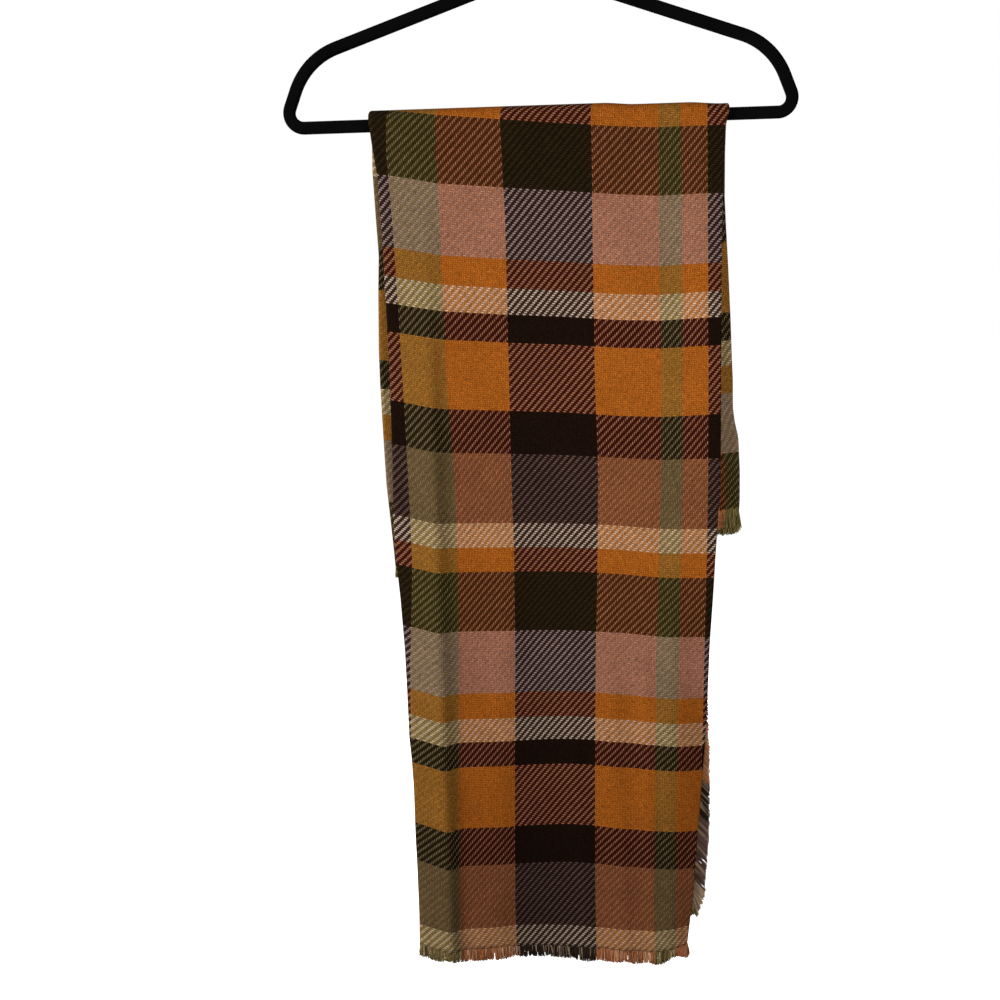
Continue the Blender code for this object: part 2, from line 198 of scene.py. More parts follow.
# %% Lamps
AIM = Vector((0.0, 0.0, -0.4))
LAMPS = (  # name, place, side of the square lamp, watts
    ("raking", (-1.53, -0.866, 0.02), 0.7, 42.5),
    ("near", (0.332, -0.59, -0.422), 0.4, 3.3),
    ("back_left", (-1.2, 1.6, 0.4), 1.2, 40.0),
    ("back_right", (1.3, 1.4, 0.1), 1.2, 22.0),
)
for lamp_name, place, side, watts in LAMPS:
    lamp_data = bpy.data.lights.new(lamp_name, "AREA")
    lamp_data.size = side
    lamp_data.energy = watts
    lamp = bpy.data.objects.new(lamp_name, lamp_data)
    bpy.context.scene.collection.objects.link(lamp)
    lamp.location = place
    lamp.visible_camera = False
    lamp.rotation_euler = (AIM - Vector(place)).to_track_quat("-Z", "Y").to_euler()
print("lamps:", ", ".join(entry[0] for entry in LAMPS))

# %% [markdown]
# ## How the cloth is folded
# The scarf is one piece of cloth about 1.03 m wide and 1.17 m long. It is folded lengthwise into
# four layers and laid over the bar. Layer 1 is the face; at the right fold it turns into layer 2,
# which turns at an inner left fold into layer 3. At the outer left fold layer 1 turns into layer
# 4, the rear one, that lies on the bar. A folded cloth must stay one sheet, so it is built as one
# grid: every row is the same zigzag line across the packet, and every column runs from the back
# hem, over the bar, to the front hem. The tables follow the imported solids' outline, in mm.

# %% Outline of the packet
BAR_TOP = -200.0 * MM
BAR_NOSE = 3.0 * MM  # the cloth turns over the bar on this radius
LEVEL = 1.8 * MM  # from one layer's middle to the next
REST = 1.05 * MM  # the rear layer's middle, off the bar
HALF_WALL = 0.75 * MM
STEP_START = 22.0 * MM  # past an inner selvedge, the layers over it sink by one level
STEP_RUN = 30.0 * MM
INNER_LIFT = 6.0 * MM  # the inner layers' hem, above the face's
WAVE_LENGTH = 197.0 * MM
WAVE_VALLEY = -3.0 * MM

# height, left fold, right fold, rear selvedge, third layer's selvedge, reach of the waves
FRONT_ROWS = np.array((
    (-200.0, -149.6, 163.2, 104.0, 30.0, 0.0),
    (-210.0, -148.4, 160.2, 104.2, 30.5, 0.0),
    (-220.0, -147.4, 158.4, 104.5, 31.0, 0.0),
    (-231.0, -146.2, 157.8, 104.8, 31.5, 0.0),
    (-248.0, -143.8, 157.4, 105.2, 32.5, 0.0),
    (-320.0, -142.0, 155.5, 108.0, 38.0, 0.4),
    (-420.0, -141.5, 154.8, 113.0, 46.0, 1.6),
    (-500.0, -142.8, 154.2, 118.0, 52.5, 2.6),
    (-545.0, -144.4, 152.6, 120.5, 56.5, 3.1),
    (-575.0, -144.5, 150.6, 122.5, 59.5, 3.4),
    (-600.0, -143.5, 148.9, 124.0, 62.0, 3.6),
    (-628.0, -141.7, 147.3, 125.5, 67.0, 3.9),
    (-680.0, -139.9, 143.8, 128.5, 76.0, 4.4),
    (-720.0, -139.7, 142.2, 130.5, 83.0, 4.8),
    (-765.0, -139.8, 140.1, 132.5, 90.5, 5.2),
    (-785.0, -138.6, 138.6, 133.0, 93.5, 5.4),
    (-815.0, -137.8, 135.6, 133.8, 97.5, 5.7),
    (-865.0, -138.4, 131.6, 134.0, 104.0, 6.2),
    (-900.0, -138.2, 128.8, 133.0, 108.0, 6.4),
    (-945.0, -138.5, 124.8, 130.0, 112.0, 6.6),
    (-985.0, -139.9, 119.8, 128.0, 114.0, 6.6),
)) * MM
BACK_ROWS = np.array((
    (-200.0, -149.6, 163.2, 104.0, 30.0, 0.0),
    (-214.0, -148.2, 161.2, 102.5, 28.5, 0.1),
    (-240.0, -149.1, 160.3, 100.0, 26.0, 0.2),
    (-280.0, -148.2, 160.0, 96.5, 22.0, 0.4),
    (-310.0, -147.3, 161.4, 93.5, 19.0, 0.6),
    (-340.0, -149.4, 163.0, 91.0, 16.0, 0.8),
    (-390.0, -151.6, 165.3, 86.5, 11.0, 1.2),
    (-420.0, -152.0, 166.3, 84.0, 8.0, 1.4),
    (-450.0, -151.7, 167.5, 81.5, 6.0, 1.6),
    (-478.0, -151.4, 167.7, 79.5, 4.0, 1.9),
    (-492.0, -151.2, 169.4, 78.5, 2.8, 2.0),
    (-507.0, -151.0, 172.6, 77.5, 1.5, 2.1),
    (-540.0, -148.8, 174.0, 75.5, -2.0, 2.3),
    (-570.0, -147.0, 174.0, 73.5, -4.5, 2.5),
    (-600.0, -145.8, 172.0, 72.0, -6.0, 2.6),
)) * MM
# x and height along each hem
FRONT_FACE_HEM = np.array(((-140, -970), (-110, -975), (-50, -976), (30, -982), (90, -986),
                           (122, -981))) * MM
FRONT_REAR_HEM = np.array(((-140, -970), (-60, -964), (40, -953), (131, -940))) * MM
BACK_FACE_HEM = np.array(((-148, -598), (-60, -588), (60, -572), (172, -560))) * MM
BACK_REAR_HEM = np.array(((-148, -598), (-60, -603), (72, -611))) * MM


def by_height(table, z, column):
    """A column of an outline table at height z."""
    return np.interp(-z, -table[:, 0], table[:, column])


def along(table, x):
    """The second column of a two-column table, where the first is x."""
    return np.interp(x, table[:, 0], table[:, 1])


def smooth(value):
    """An eased step: 0 up to 0, 1 from 1 on."""
    value = np.clip(value, 0.0, 1.0)
    return value * value * (3.0 - 2.0 * value)


print(len(FRONT_ROWS), "rows of outline for the front drop,", len(BACK_ROWS), "for the back drop")

# %% [markdown]
# ## Where the plaid lies
# A woven pattern belongs to the yarns, not to space. Every point of the sheet therefore carries
# its own place in the flat cloth: u across, from the middle of a wide black stripe, and v along,
# from the bar down the front. On the real scarf the weft bands sag a little to the right and the
# folds don't follow the warp exactly. Small tables hold that drift, in mm, and are read at each
# point. SAG and LEAN have a column for each x and a row for each distance down from the bar. The
# place is stored as a UV map in metres.
#
# SAG and LEAN weren't chosen by hand. A fitting program solved them, comparing the photo with a
# render, and its numbers were pasted in. They are no example to follow: a few values read from
# the photo by eye would be the better source.

# %% Drift of the pattern
# how far down the weft bands have drifted
SAG_X = np.array((-147, -134, -106, -93, -35, 15, 62, 100, 140, 160)) * MM
SAG_DOWN = np.array((0, 65, 160, 260, 360, 460, 560, 680, 800)) * MM
SAG = np.array((
    (-20.2, -18.2, -13.3, -11.2, -5.4, -0.6, 3.1, 5.0, 4.8, 4.7),
    (-20.2, -18.5, -12.9, -10.1, -5.0, -0.7, 3.8, 6.4, 5.5, 5.5),
    (-17.6, -15.4, -10.3, -7.9, -2.8, 0.8, 5.2, 7.0, 5.5, 5.5),
    (-18.2, -15.9, -9.7, -7.5, -3.8, -0.6, 3.9, 6.3, 5.7, 5.3),
    (-15.8, -13.2, -7.2, -5.7, -3.4, -1.2, 2.1, 6.7, 8.3, 8.4),
    (-14.7, -12.3, -6.6, -6.1, -3.9, -2.2, 1.3, 6.4, 9.4, 9.6),
    (-14.5, -10.9, -4.6, -5.6, -3.6, -3.1, 0.8, 5.5, 9.3, 9.6),
    (-15.1, -13.0, -5.5, -6.5, -4.1, -3.1, 1.2, 4.7, 7.6, 8.7),
    (-16.1, -15.1, -7.0, -8.5, -5.6, -2.6, 0.6, 3.6, 6.5, 7.8),
)) * MM
# how far to the right the warp stripes have drifted
LEAN_X = np.array((-136, -95, -37, 41, 98, 138)) * MM
LEAN_DOWN = np.array((0, 30, 90, 225, 318, 389, 484, 612, 730)) * MM
LEAN = np.array((
    (2.5, 1.9, 2.2, 0.7, 2.6, 2.4),
    (0.9, 0.9, 2.8, 0.9, 2.8, 2.5),
    (3.8, 1.8, 4.2, 0.5, 2.4, 2.5),
    (7.0, 1.9, 3.1, -0.1, 2.9, 2.5),
    (7.4, 6.7, 2.3, 1.3, 1.7, 1.9),
    (7.5, 5.9, 2.6, -0.6, -1.1, 0.5),
    (0.9, 3.6, 0.4, -4.4, -4.5, -1.8),
    (-3.4, -1.4, -4.2, -7.5, -7.7, -4.9),
    (-6.5, -6.6, -7.3, -9.5, -9.5, -6.5),
)) * MM
# distance down the back drop, and how far down its bands have drifted at its left and right edges
BACK_LEFT = np.array(((60, 15), (110, 13), (150, 11), (210, 12), (250, 14), (300, 12),
                      (340, 10.5), (400, 15))) * MM
BACK_RIGHT = np.array(((60, -22), (116, -20), (250, -20), (303, -25), (356, -27))) * MM
REAR_SLOPE = 0.13  # on the rear layer, v rises by this for each metre to the right
REAR_SLOPE_LOSS = 0.1  # and by this much less for each metre down the back drop
LENGTH_V = np.array((-386.0, 780.0)) * MM  # v at the back hem and at the front hem


def on_grid(xs, downs, table, x, down):
    """Bilinear reading of a table at arrays x and down."""
    x, down = np.clip(x, xs[0], xs[-1]), np.clip(down, downs[0], downs[-1])
    column = np.clip(np.searchsorted(xs, x, side="right") - 1, 0, len(xs) - 2)
    row = np.clip(np.searchsorted(downs, down, side="right") - 1, 0, len(downs) - 2)
    part_x = (x - xs[column]) / (xs[column + 1] - xs[column])
    part_d = (down - downs[row]) / (downs[row + 1] - downs[row])
    upper = table[row, column] * (1 - part_x) + table[row, column + 1] * part_x
    lower = table[row + 1, column] * (1 - part_x) + table[row + 1, column + 1] * part_x
    return upper * (1 - part_d) + lower * part_d


# %% [markdown]
# ## Creases
# Hung cloth is never flat. Shallow upright waves run through the whole packet and deepen towards
# the hem, where nothing holds it straight, so all four layers share them. The face also has a few
# creases of its own that stand forward: a long one on the left, steep on its right side, and
# softer ones lower down. Each is given by its line, height and the width of each side.

# %% Shape of the creases
# side, x and z at the top, x and z at the foot, height, width to the left, to the right, and over
# what drop it grows to its height
CREASES = (
    ("front", -104, -200, -109, -985, 6.5, 27, 8.5, 360),
    ("front", -103, -300, -107, -985, 2.2, 9, 34, 300),
    ("front", -38, -520, -64, -985, 1.6, 18, 13, 160),
    ("front", 8, -630, 27, -985, 0.8, 9, 7, 90),
    ("front", 48, -580, 60, -985, 1.5, 13, 8, 120),
    ("front", 80, -630, 88, -985, 0.7, 6, 6, 80),
    ("front", 112, -480, 104, -985, 1.2, 9, 12, 150),
    ("front", 152, -560, 140, -985, -3.6, 26, 30, 240),
    ("back", -86, -260, -92, -640, 4.0, 22, 9, 260),
    ("back", 22, -360, 30, -640, 1.6, 14, 12, 110),
    ("back", 112, -270, 126, -640, 2.2, 12, 20, 110),
)
INNER_SHARE, REAR_SHARE = 0.9, 0.7  # how far the hidden layers follow the face's creases
RIPPLE = 0.45 * MM  # height of the small unevenness
RIPPLE_SIZE = 34.0 * MM
RIPPLE_STRETCH = 2.2  # how much longer it is than wide
RIPPLE_GROWTH = 6.0  # it has its full height one part in six down each drop
RIPPLE_SEED = {"front": 0.0, "back": 7.3}


def creases(side, x, z):
    """How far one drop's own creases stand forward at arrays x and z."""
    out = np.zeros_like(x)
    for which, top_x, top_z, foot_x, foot_z, high, left, right, growth in CREASES:
        if which != side:
            continue
        part = (z / MM - top_z) / (foot_z - top_z)
        away = x / MM - (top_x + (foot_x - top_x) * part)
        width = np.where(away < 0, left, right)
        out += high * MM * smooth((top_z - z / MM) / growth) * np.exp(-((away / width) ** 2))
    return out


def ripple(side, x, z):
    """Small random unevenness, the same for all layers of one drop."""
    flat = np.empty(x.size)
    for i, (a, b) in enumerate(zip(x.ravel(), z.ravel())):
        flat[i] = noise.noise((a / RIPPLE_SIZE, b / (RIPPLE_STRETCH * RIPPLE_SIZE),
                               RIPPLE_SEED[side]))
    return RIPPLE * flat.reshape(x.shape)


print(len(CREASES), "creases, the highest", max(crease[5] for crease in CREASES), "mm")

# %% [markdown]
# ## The grid of the sheet
# A column is named by the run of cloth it belongs to and its share of that run. A row is a turn
# over the bar or a share of a drop. The face gets fine columns, the hidden layers coarse ones,
# and each fold a half circle of its own.

# %% Rows and columns
FACE_COLUMNS = 100
SECOND_COLUMNS = 26
THIRD_COLUMNS = 15
REAR_COLUMNS = 30
FOLD_STEPS = 7
FRONT_DROP_ROWS = 140
BACK_DROP_ROWS = 70
TURN_ROWS = 8


def shares(count, skip_first=False):
    """Even steps from 0 to 1."""
    return [k / count for k in range(1 if skip_first else 0, count + 1)]


columns = [("rear", 0.0)]
for run, count in (("rear", REAR_COLUMNS), ("left_fold", FOLD_STEPS), ("face", FACE_COLUMNS),
                   ("right_fold", FOLD_STEPS), ("second", SECOND_COLUMNS),
                   ("inner_fold", FOLD_STEPS), ("third", THIRD_COLUMNS)):
    columns += [(run, part) for part in shares(count, True)]

rows = [("back", 1.0 - part) for part in shares(BACK_DROP_ROWS)][:-1]
rows += [("turn", -math.pi / 2 + math.pi * k / (2 * TURN_ROWS)) for k in range(2 * TURN_ROWS + 1)]
rows += [("front", part) for part in shares(FRONT_DROP_ROWS, True)]
print(len(columns), "columns and", len(rows), "rows")


# %% Place of every point
def packet_line(run, part, left, right, rear, third, z, face_sink):
    """x, distance off the bar and layer (1 to 4) of one column, on every row."""
    turn_big, turn_small = 1.5 * LEVEL, LEVEL / 2
    centre = left + HALF_WALL + turn_big
    end = right - HALF_WALL - turn_small
    top = REST + 3 * LEVEL
    if run == "rear":
        return rear + part * (centre - rear), np.full_like(z, REST), 4.0
    if run == "left_fold":
        angle = math.pi * part
        off = REST + turn_big * (1 - math.cos(angle))
        return centre - turn_big * math.sin(angle), np.full_like(z, off), 4.0 - 3.0 * part
    if run == "face":
        x = centre + part * (end - centre)
        return x, top - face_sink(x, rear, third), 1.0
    if run == "right_fold":
        angle = math.pi * part
        off = top - face_sink(end, rear, third) - turn_small * (1 - math.cos(angle))
        return end + turn_small * math.sin(angle), off, 1.0 + part
    if run == "second":
        x = end + part * (centre - end)
        return x, top - LEVEL - face_sink(x, rear, third), 2.0
    if run == "inner_fold":
        angle = math.pi * part
        off = top - LEVEL - turn_small * (1 - math.cos(angle))
        return centre - turn_small * math.sin(angle), np.full_like(z, off), 2.0 + part
    return centre + part * (third - centre), np.full_like(z, REST + LEVEL), 3.0


def sink_past_selvedges(x, rear, third):
    """How far layers 1 and 2 sink where the layers under them have ended."""
    steps = smooth((x - rear - STEP_START) / STEP_RUN) + smooth((x - third - STEP_START) / STEP_RUN)
    return LEVEL * steps


count_rows, count_columns = len(rows), len(columns)
shape = (count_rows, count_columns)
X, OFF, LAYER = np.zeros(shape), np.zeros(shape), np.zeros(shape)
nose_z = BAR_TOP - BAR_NOSE
is_front = np.array([kind == "front" or (kind == "turn" and value > 0) for kind, value in rows])
hem_mid = {"front": along(FRONT_FACE_HEM, 0.0), "back": along(BACK_FACE_HEM, 0.0)}
middle_z = np.array([nose_z if kind == "turn" else nose_z + value * (hem_mid[kind] - nose_z)
                     for kind, value in rows])
edge = np.array([[by_height(FRONT_ROWS if front else BACK_ROWS, z, k) for k in (1, 2, 3, 4, 5)]
                 for front, z in zip(is_front, middle_z)])
left, right, rear, third, reach = edge.T
for c, (run, part) in enumerate(columns):
    X[:, c], OFF[:, c], LAYER[:, c] = packet_line(run, part, left, right, rear, third, middle_z,
                                                  sink_past_selvedges)
print("x from %.3f to %.3f m, layers' middles over %.1f mm" % (X.min(), X.max(), np.ptp(OFF) / MM))

# %% [markdown]
# ## From the flat plan to the hanging cloth
# Over the bar a row is an angle, and the distance off the bar is a radius. Down a drop the same
# distance is the depth in front of the bar or behind it, with waves and creases added. The hems
# of the four layers don't end level, so each column's rows are spread between the bar and its own
# hem. Then v is worked out for each point: the turn over the bar uses up cloth too, and more of
# it on the outer layers.

# %% Points of the sheet
Y, Z, V = np.zeros(shape), np.zeros(shape), np.zeros(shape)
rear_part = np.clip((LAYER - 1.0) / 3.0, 0.0, 1.0)
rear_part[:, [run not in ("rear", "left_fold") for run, _ in columns]] = 0.0
inner_part = np.clip(LAYER - 1.0, 0.0, 1.0)
inner_part[:, [run in ("rear", "left_fold") for run, _ in columns]] = 0.0
HEM_EASE = 80.0 * MM  # the last stretch of a drop, where v is eased to its value at the cut edge
BAR_EASE = 70.0 * MM  # the first stretch of the back drop, where its tables take over


def natural_turn(radius, angle):
    """Cloth used from the front end of the turn over the bar to an angle, as a falling v."""
    return BAR_NOSE - radius * (math.pi / 2 - angle)


def rear_rise(x, left_edge):
    """How far v has risen across the rear layer at x."""
    return REAR_SLOPE * (x - left_edge)


for r, (kind, value) in enumerate(rows):
    x, off, radius = X[r], OFF[r], BAR_NOSE + OFF[r]
    fold_x = np.full_like(x, left[r])
    start = np.full_like(x, BAR_NOSE)
    sag_top = on_grid(SAG_X, SAG_DOWN, SAG, x, start)
    sag_fold = on_grid(SAG_X, SAG_DOWN, SAG, fold_x, start)
    if kind == "turn":
        Y[r] = -radius * math.sin(value)
        Z[r] = nose_z + radius * math.cos(value)
        used = natural_turn(radius, value)
        face_v = used - sag_top
        rear_v = used - sag_fold + rear_rise(x, fold_x)
        V[r] = face_v + (rear_v - face_v) * rear_part[r]
        continue
    side = -1.0 if kind == "front" else 1.0
    face_hem, rear_hem = ((FRONT_FACE_HEM, FRONT_REAR_HEM) if kind == "front"
                          else (BACK_FACE_HEM, BACK_REAR_HEM))
    face_end = along(face_hem, x) + INNER_LIFT * inner_part[r]
    hem = face_end + (along(rear_hem, x) - face_end) * rear_part[r]
    z = nose_z + value * (hem - nose_z)
    wave = reach[r] * 0.5 * (1.0 - np.cos(2 * math.pi * (x - WAVE_VALLEY) / WAVE_LENGTH))
    follow = (1.0 - (1.0 - INNER_SHARE) * inner_part[r]) * (1.0 - (1.0 - REAR_SHARE) * rear_part[r])
    own = creases(kind, x, z) * follow
    Y[r] = side * (radius + wave + own + ripple(kind, x, z) * smooth(value * RIPPLE_GROWTH))
    Z[r] = z
    down = BAR_TOP - z
    if kind == "front":
        face_v = down - on_grid(SAG_X, SAG_DOWN, SAG, x, down)
        rear_v = down - on_grid(SAG_X, SAG_DOWN, SAG, fold_x, down) + rear_rise(x, fold_x)
        end_v, end_down = LENGTH_V[1], BAR_TOP - hem
        face_last = end_down - on_grid(SAG_X, SAG_DOWN, SAG, x, end_down)
        rear_last = (end_down - on_grid(SAG_X, SAG_DOWN, SAG, fold_x, end_down)
                     + rear_rise(x, fold_x))
    else:
        def settled(at):
            """How far down the bands have drifted, on the face and on the rear layer."""
            low = np.interp(at, BACK_LEFT[:, 0], BACK_LEFT[:, 1])
            high = np.interp(at, BACK_RIGHT[:, 0], BACK_RIGHT[:, 1])
            across = (x - left[r]) / (right[r] - left[r])
            rear_low = low + (REAR_SLOPE - REAR_SLOPE_LOSS * at) * (x - left[r])
            return low + (high - low) * across, rear_low

        first = natural_turn(radius, -math.pi / 2)
        ease = smooth((down - BAR_NOSE) / BAR_EASE)
        face_table, rear_table = settled(down)
        face_start = first - sag_top + 2 * BAR_NOSE
        rear_start = first - sag_fold + rear_rise(x, fold_x) + 2 * BAR_NOSE
        face_v = -(down + BAR_NOSE) + face_start + (face_table - face_start) * ease
        rear_v = -(down + BAR_NOSE) + rear_start + (rear_table - rear_start) * ease
        end_v, end_down = LENGTH_V[0], BAR_TOP - hem
        face_end_table, rear_end_table = settled(end_down)
        face_last = -(end_down + BAR_NOSE) + face_end_table
        rear_last = -(end_down + BAR_NOSE) + rear_end_table
    late = smooth((down - end_down + HEM_EASE) / HEM_EASE)
    face_v += (end_v - face_last) * late
    rear_v += (end_v - rear_last) * late
    V[r] = face_v + (rear_v - face_v) * rear_part[r]
print("y from %.1f to %.1f mm" % (Y.min() / MM, Y.max() / MM))

# %% Place across the cloth
# distance down the back drop, and how far to the right its stripes have drifted at each edge
BACK_LEAN_LEFT = np.array(((3, 17), (32, 31), (120, 35), (400, 35))) * MM
BACK_LEAN_RIGHT = np.array(((3, 4), (200, -3), (270, -7), (315, -16), (400, -18))) * MM
U = np.zeros(shape)
first_face = next(c for c, (run, part) in enumerate(columns) if run == "face") - 1
last_face = max(c for c, (run, part) in enumerate(columns) if run == "face")
for r, (kind, value) in enumerate(rows):
    x, down = X[r], BAR_TOP - Z[r]
    on_front = on_grid(LEAN_X, LEAN_DOWN, LEAN, x, down)
    if kind == "front":
        lean = on_front
    else:
        low = np.interp(down, BACK_LEAN_LEFT[:, 0], BACK_LEAN_LEFT[:, 1])
        high = np.interp(down, BACK_LEAN_RIGHT[:, 0], BACK_LEAN_RIGHT[:, 1])
        on_back = low + (high - low) * (x - left[r]) / (right[r] - left[r])
        back_part = 1.0 if kind == "back" else 0.5 - value / math.pi
        lean = on_front + (on_back - on_front) * smooth(back_part)
    U[r] = x - lean
    step = np.hypot(np.diff(X[r]), np.diff(OFF[r]))
    U[r, last_face:] = U[r, last_face] + np.concatenate(([0.0], np.cumsum(step[last_face:])))
    back_step = np.cumsum(step[:first_face][::-1])
    U[r, :first_face] = (U[r, first_face] - back_step)[::-1]
print("u from %.3f to %.3f m, v from %.3f to %.3f m" % (U.min(), U.max(), V.min(), V.max()))

# %% [markdown]
# ## Making the sheet
# The grid becomes a mesh whose faces look outwards from the packet, and a Solidify modifier gives
# it the thickness of the wool, half on each side, with its rims closed. The modifier is applied,
# so that the mesh is plain.

# %% Sheet
CLOTH_THICK = 1.25 * MM


def link(obj):
    """Puts an object in the scene."""
    bpy.context.scene.collection.objects.link(obj)
    return obj


def baked(obj):
    """The object's evaluated mesh as its own plain mesh, with the modifiers removed."""
    graph = bpy.context.evaluated_depsgraph_get()
    mesh = bpy.data.meshes.new_from_object(obj.evaluated_get(graph), depsgraph=graph)
    mesh.name = obj.name
    obj.modifiers.clear()
    obj.data = mesh
    return obj


points = np.stack((X, Y, Z), axis=-1).reshape(-1, 3)
index = np.arange(points.shape[0]).reshape(shape)
quads = np.stack((index[:-1, :-1], index[1:, :-1], index[1:, 1:], index[:-1, 1:]), axis=-1)
quads = quads.reshape(-1, 4)
cloth_mesh = bpy.data.meshes.new("scarf_cloth")
cloth_mesh.from_pydata(points.tolist(), [], quads.tolist())
place = cloth_mesh.uv_layers.new(name="cloth_place")
corner_vertex = np.empty(len(cloth_mesh.loops), dtype=np.int32)
cloth_mesh.loops.foreach_get("vertex_index", corner_vertex)
uv = np.stack((U.ravel()[corner_vertex], V.ravel()[corner_vertex]), axis=-1)
place.data.foreach_set("uv", uv.astype(np.float32).ravel())
cloth_mesh.shade_smooth()
cloth = link(bpy.data.objects.new("scarf_cloth", cloth_mesh))
thicken = cloth.modifiers.new("wool", "SOLIDIFY")
thicken.thickness = CLOTH_THICK
thicken.offset = 0.0
thicken.use_rim = True
thicken.use_even_offset = True
baked(cloth)
print("scarf_cloth:", len(cloth.data.polygons), "faces")

# %% [markdown]
# ## Stripe sequences
# A plaid is two lists of stripes, one for the warp and one for the weft, that repeat across the
# cloth. A Color Ramp with constant steps holds such a list: the yarn's number, as a share of the
# repeat, is looked up in it. Both the cloth and its loose threads use these two groups, so the
# fringe always has the colour of the yarn it comes from.

# %% Yarns
WARP_PITCH = 1.5253 * MM
WEFT_PITCH = 1.7522 * MM
WARP_REPEAT_START = -25.5  # yarns from u = 0 to the first stripe's left edge
WEFT_REPEAT_START = 9.7 * MM / WEFT_PITCH
YARN = {  # dyed wool, linear red, green and blue, adjusted by a fit to the photo's brightness
    "orange": (0.372, 0.100, 0.0102),
    "olive": (0.161, 0.121, 0.0246),
    "black": (0.0105, 0.0043, 0.0022),
    "dark_olive": (0.0245, 0.0166, 0.0036),
    "pink": (0.297, 0.182, 0.160),
    "white": (0.520, 0.352, 0.220),
    "pink_brown": (0.117, 0.0625, 0.0490),
}
WARP_STRIPES = (("black", 51), ("orange", 37), ("olive", 14), ("orange", 14), ("black", 14),
                ("olive", 27), ("orange", 37))
WEFT_STRIPES = (("dark_olive", 31), ("pink", 35), ("orange", 14), ("white", 12), ("black", 14),
                ("orange", 36), ("black", 22), ("pink_brown", 35), ("white", 13), ("orange", 14))


def stripe_group(name, stripes, first):
    """Group: a yarn's number, counted from u or v = 0, to its colour."""
    tree, given, leave = shader_group(name, [("Yarn", "NodeSocketFloat")],
                                      [("Color", "NodeSocketColor")])
    total = sum(count for _, count in stripes)
    shifted = calc(tree, "ADD", given["Yarn"], 0.5 - math.floor(first + 0.5))
    share = calc(tree, "FRACT", calc(tree, "DIVIDE", shifted, float(total)))
    ramp = put(tree, "ShaderNodeValToRGB", {"Fac": share})
    ramp.color_ramp.interpolation = "CONSTANT"
    steps = ramp.color_ramp.elements
    done = 0
    for k, (yarn, count) in enumerate(stripes):
        step = steps[k] if k < 2 else steps.new(done / total)
        step.position = done / total
        step.color = (*YARN[yarn], 1.0)
        done += count
    tree.links.new(ramp.outputs["Color"], leave.inputs["Color"])
    return tree


warp_stripes = stripe_group("warp_stripes", WARP_STRIPES, WARP_REPEAT_START)
weft_stripes = stripe_group("weft_stripes", WEFT_STRIPES, WEFT_REPEAT_START)
print("warp repeat", sum(n for _, n in WARP_STRIPES), "yarns, weft repeat",
      sum(n for _, n in WEFT_STRIPES))

# %% [markdown]
# ## Twill
# In a two-and-two twill each yarn passes over two others and under two, one step further on each
# row, which draws fine diagonal lines. The group finds the two yarns that cross at a point and
# which of them is on top: the sum of their numbers, counted in fours. It gives out the colour,
# and a height for the bump: a yarn is round across and arched along its float. Where that height
# is low, at a yarn's sides and at the ends of its floats, the colour is darkened: painted shade in
# the hollows between yarns. A dark yarn beside a pale one closes over its edges, so pale floats are
# narrowed where they lie on dark yarn. The wool is brushed, so loose fibres of each yarn lie over
# the other and lend it some of their hue.

# %% Twill group
TWILL_REPEAT = 4.0  # yarns: over two and under two
SIDE_POWER, END_POWER = 2.0, 6.0  # how suddenly a float falls off across and at its ends
END_HEIGHT = 0.4  # of a float's full height, at its ends

twill, given, leave = shader_group(
    "twill",
    [("Place", "NodeSocketVector"), ("Warp Pitch", "NodeSocketFloat"),
     ("Weft Pitch", "NodeSocketFloat"), ("Warp Width", "NodeSocketFloat"),
     ("Weft Width", "NodeSocketFloat"), ("Softness", "NodeSocketFloat"),
     ("Painted Crevice Shade", "NodeSocketFloat"), ("Heather", "NodeSocketFloat"),
     ("Hue Blend", "NodeSocketFloat"), ("Fuzz", "NodeSocketFloat")],
    [("Color", "NodeSocketColor"), ("Height", "NodeSocketFloat")],
)
parts = put(twill, "ShaderNodeSeparateXYZ", {0: given["Place"]}).outputs
across_yarns = calc(twill, "DIVIDE", parts[0], given["Warp Pitch"])
along_yarns = calc(twill, "DIVIDE", parts[1], given["Weft Pitch"])
warp_number = calc(twill, "FLOOR", across_yarns)
weft_number = calc(twill, "FLOOR", along_yarns)
in_warp = calc(twill, "FRACT", across_yarns)
in_weft = calc(twill, "FRACT", along_yarns)
step = calc(twill, "FLOORED_MODULO", calc(twill, "ADD", warp_number, weft_number),
            TWILL_REPEAT)
warp_up = calc(twill, "LESS_THAN", step, 1.5)


def off_middle(share):
    """0 in the middle of a yarn or float, 1 at its edge."""
    return calc(twill, "ABSOLUTE", calc(twill, "MULTIPLY_ADD", share, 2.0, -1.0))


def choose(when_weft, when_warp):
    """One value where the weft is on top, and another where the warp is."""
    return put(twill, "ShaderNodeMix", {0: warp_up, 2: when_weft, 3: when_warp},
               data_type="FLOAT").outputs[0]


warp_float = calc(twill, "MULTIPLY", calc(twill, "ADD", step, in_weft), 0.5)
past_warp = calc(twill, "ADD", in_warp, -2.0)
weft_float = calc(twill, "MULTIPLY", calc(twill, "ADD", step, past_warp), 0.5)
side_way = choose(off_middle(in_weft), off_middle(in_warp))
long_way = choose(off_middle(weft_float), off_middle(warp_float))
width = choose(given["Weft Width"], given["Warp Width"])
round_edge = calc(twill, "POWER", side_way, SIDE_POWER)
end_edge = calc(twill, "POWER", long_way, END_POWER)
rim = calc(twill, "SQRT", calc(twill, "ADD", round_edge, end_edge))
covered = put(twill, "ShaderNodeMapRange",
              {"Value": rim, "From Min": calc(twill, "SUBTRACT", width, given["Softness"]),
               "From Max": calc(twill, "ADD", width, given["Softness"])},
              interpolation_type="SMOOTHSTEP").outputs[0]
roundness = calc(twill, "SUBTRACT", 1.0, calc(twill, "MINIMUM", round_edge, 1.0))
arch = calc(twill, "MULTIPLY_ADD", calc(twill, "SUBTRACT", 1.0, end_edge), 1.0 - END_HEIGHT,
            END_HEIGHT)
height = calc(twill, "MULTIPLY", roundness, arch)

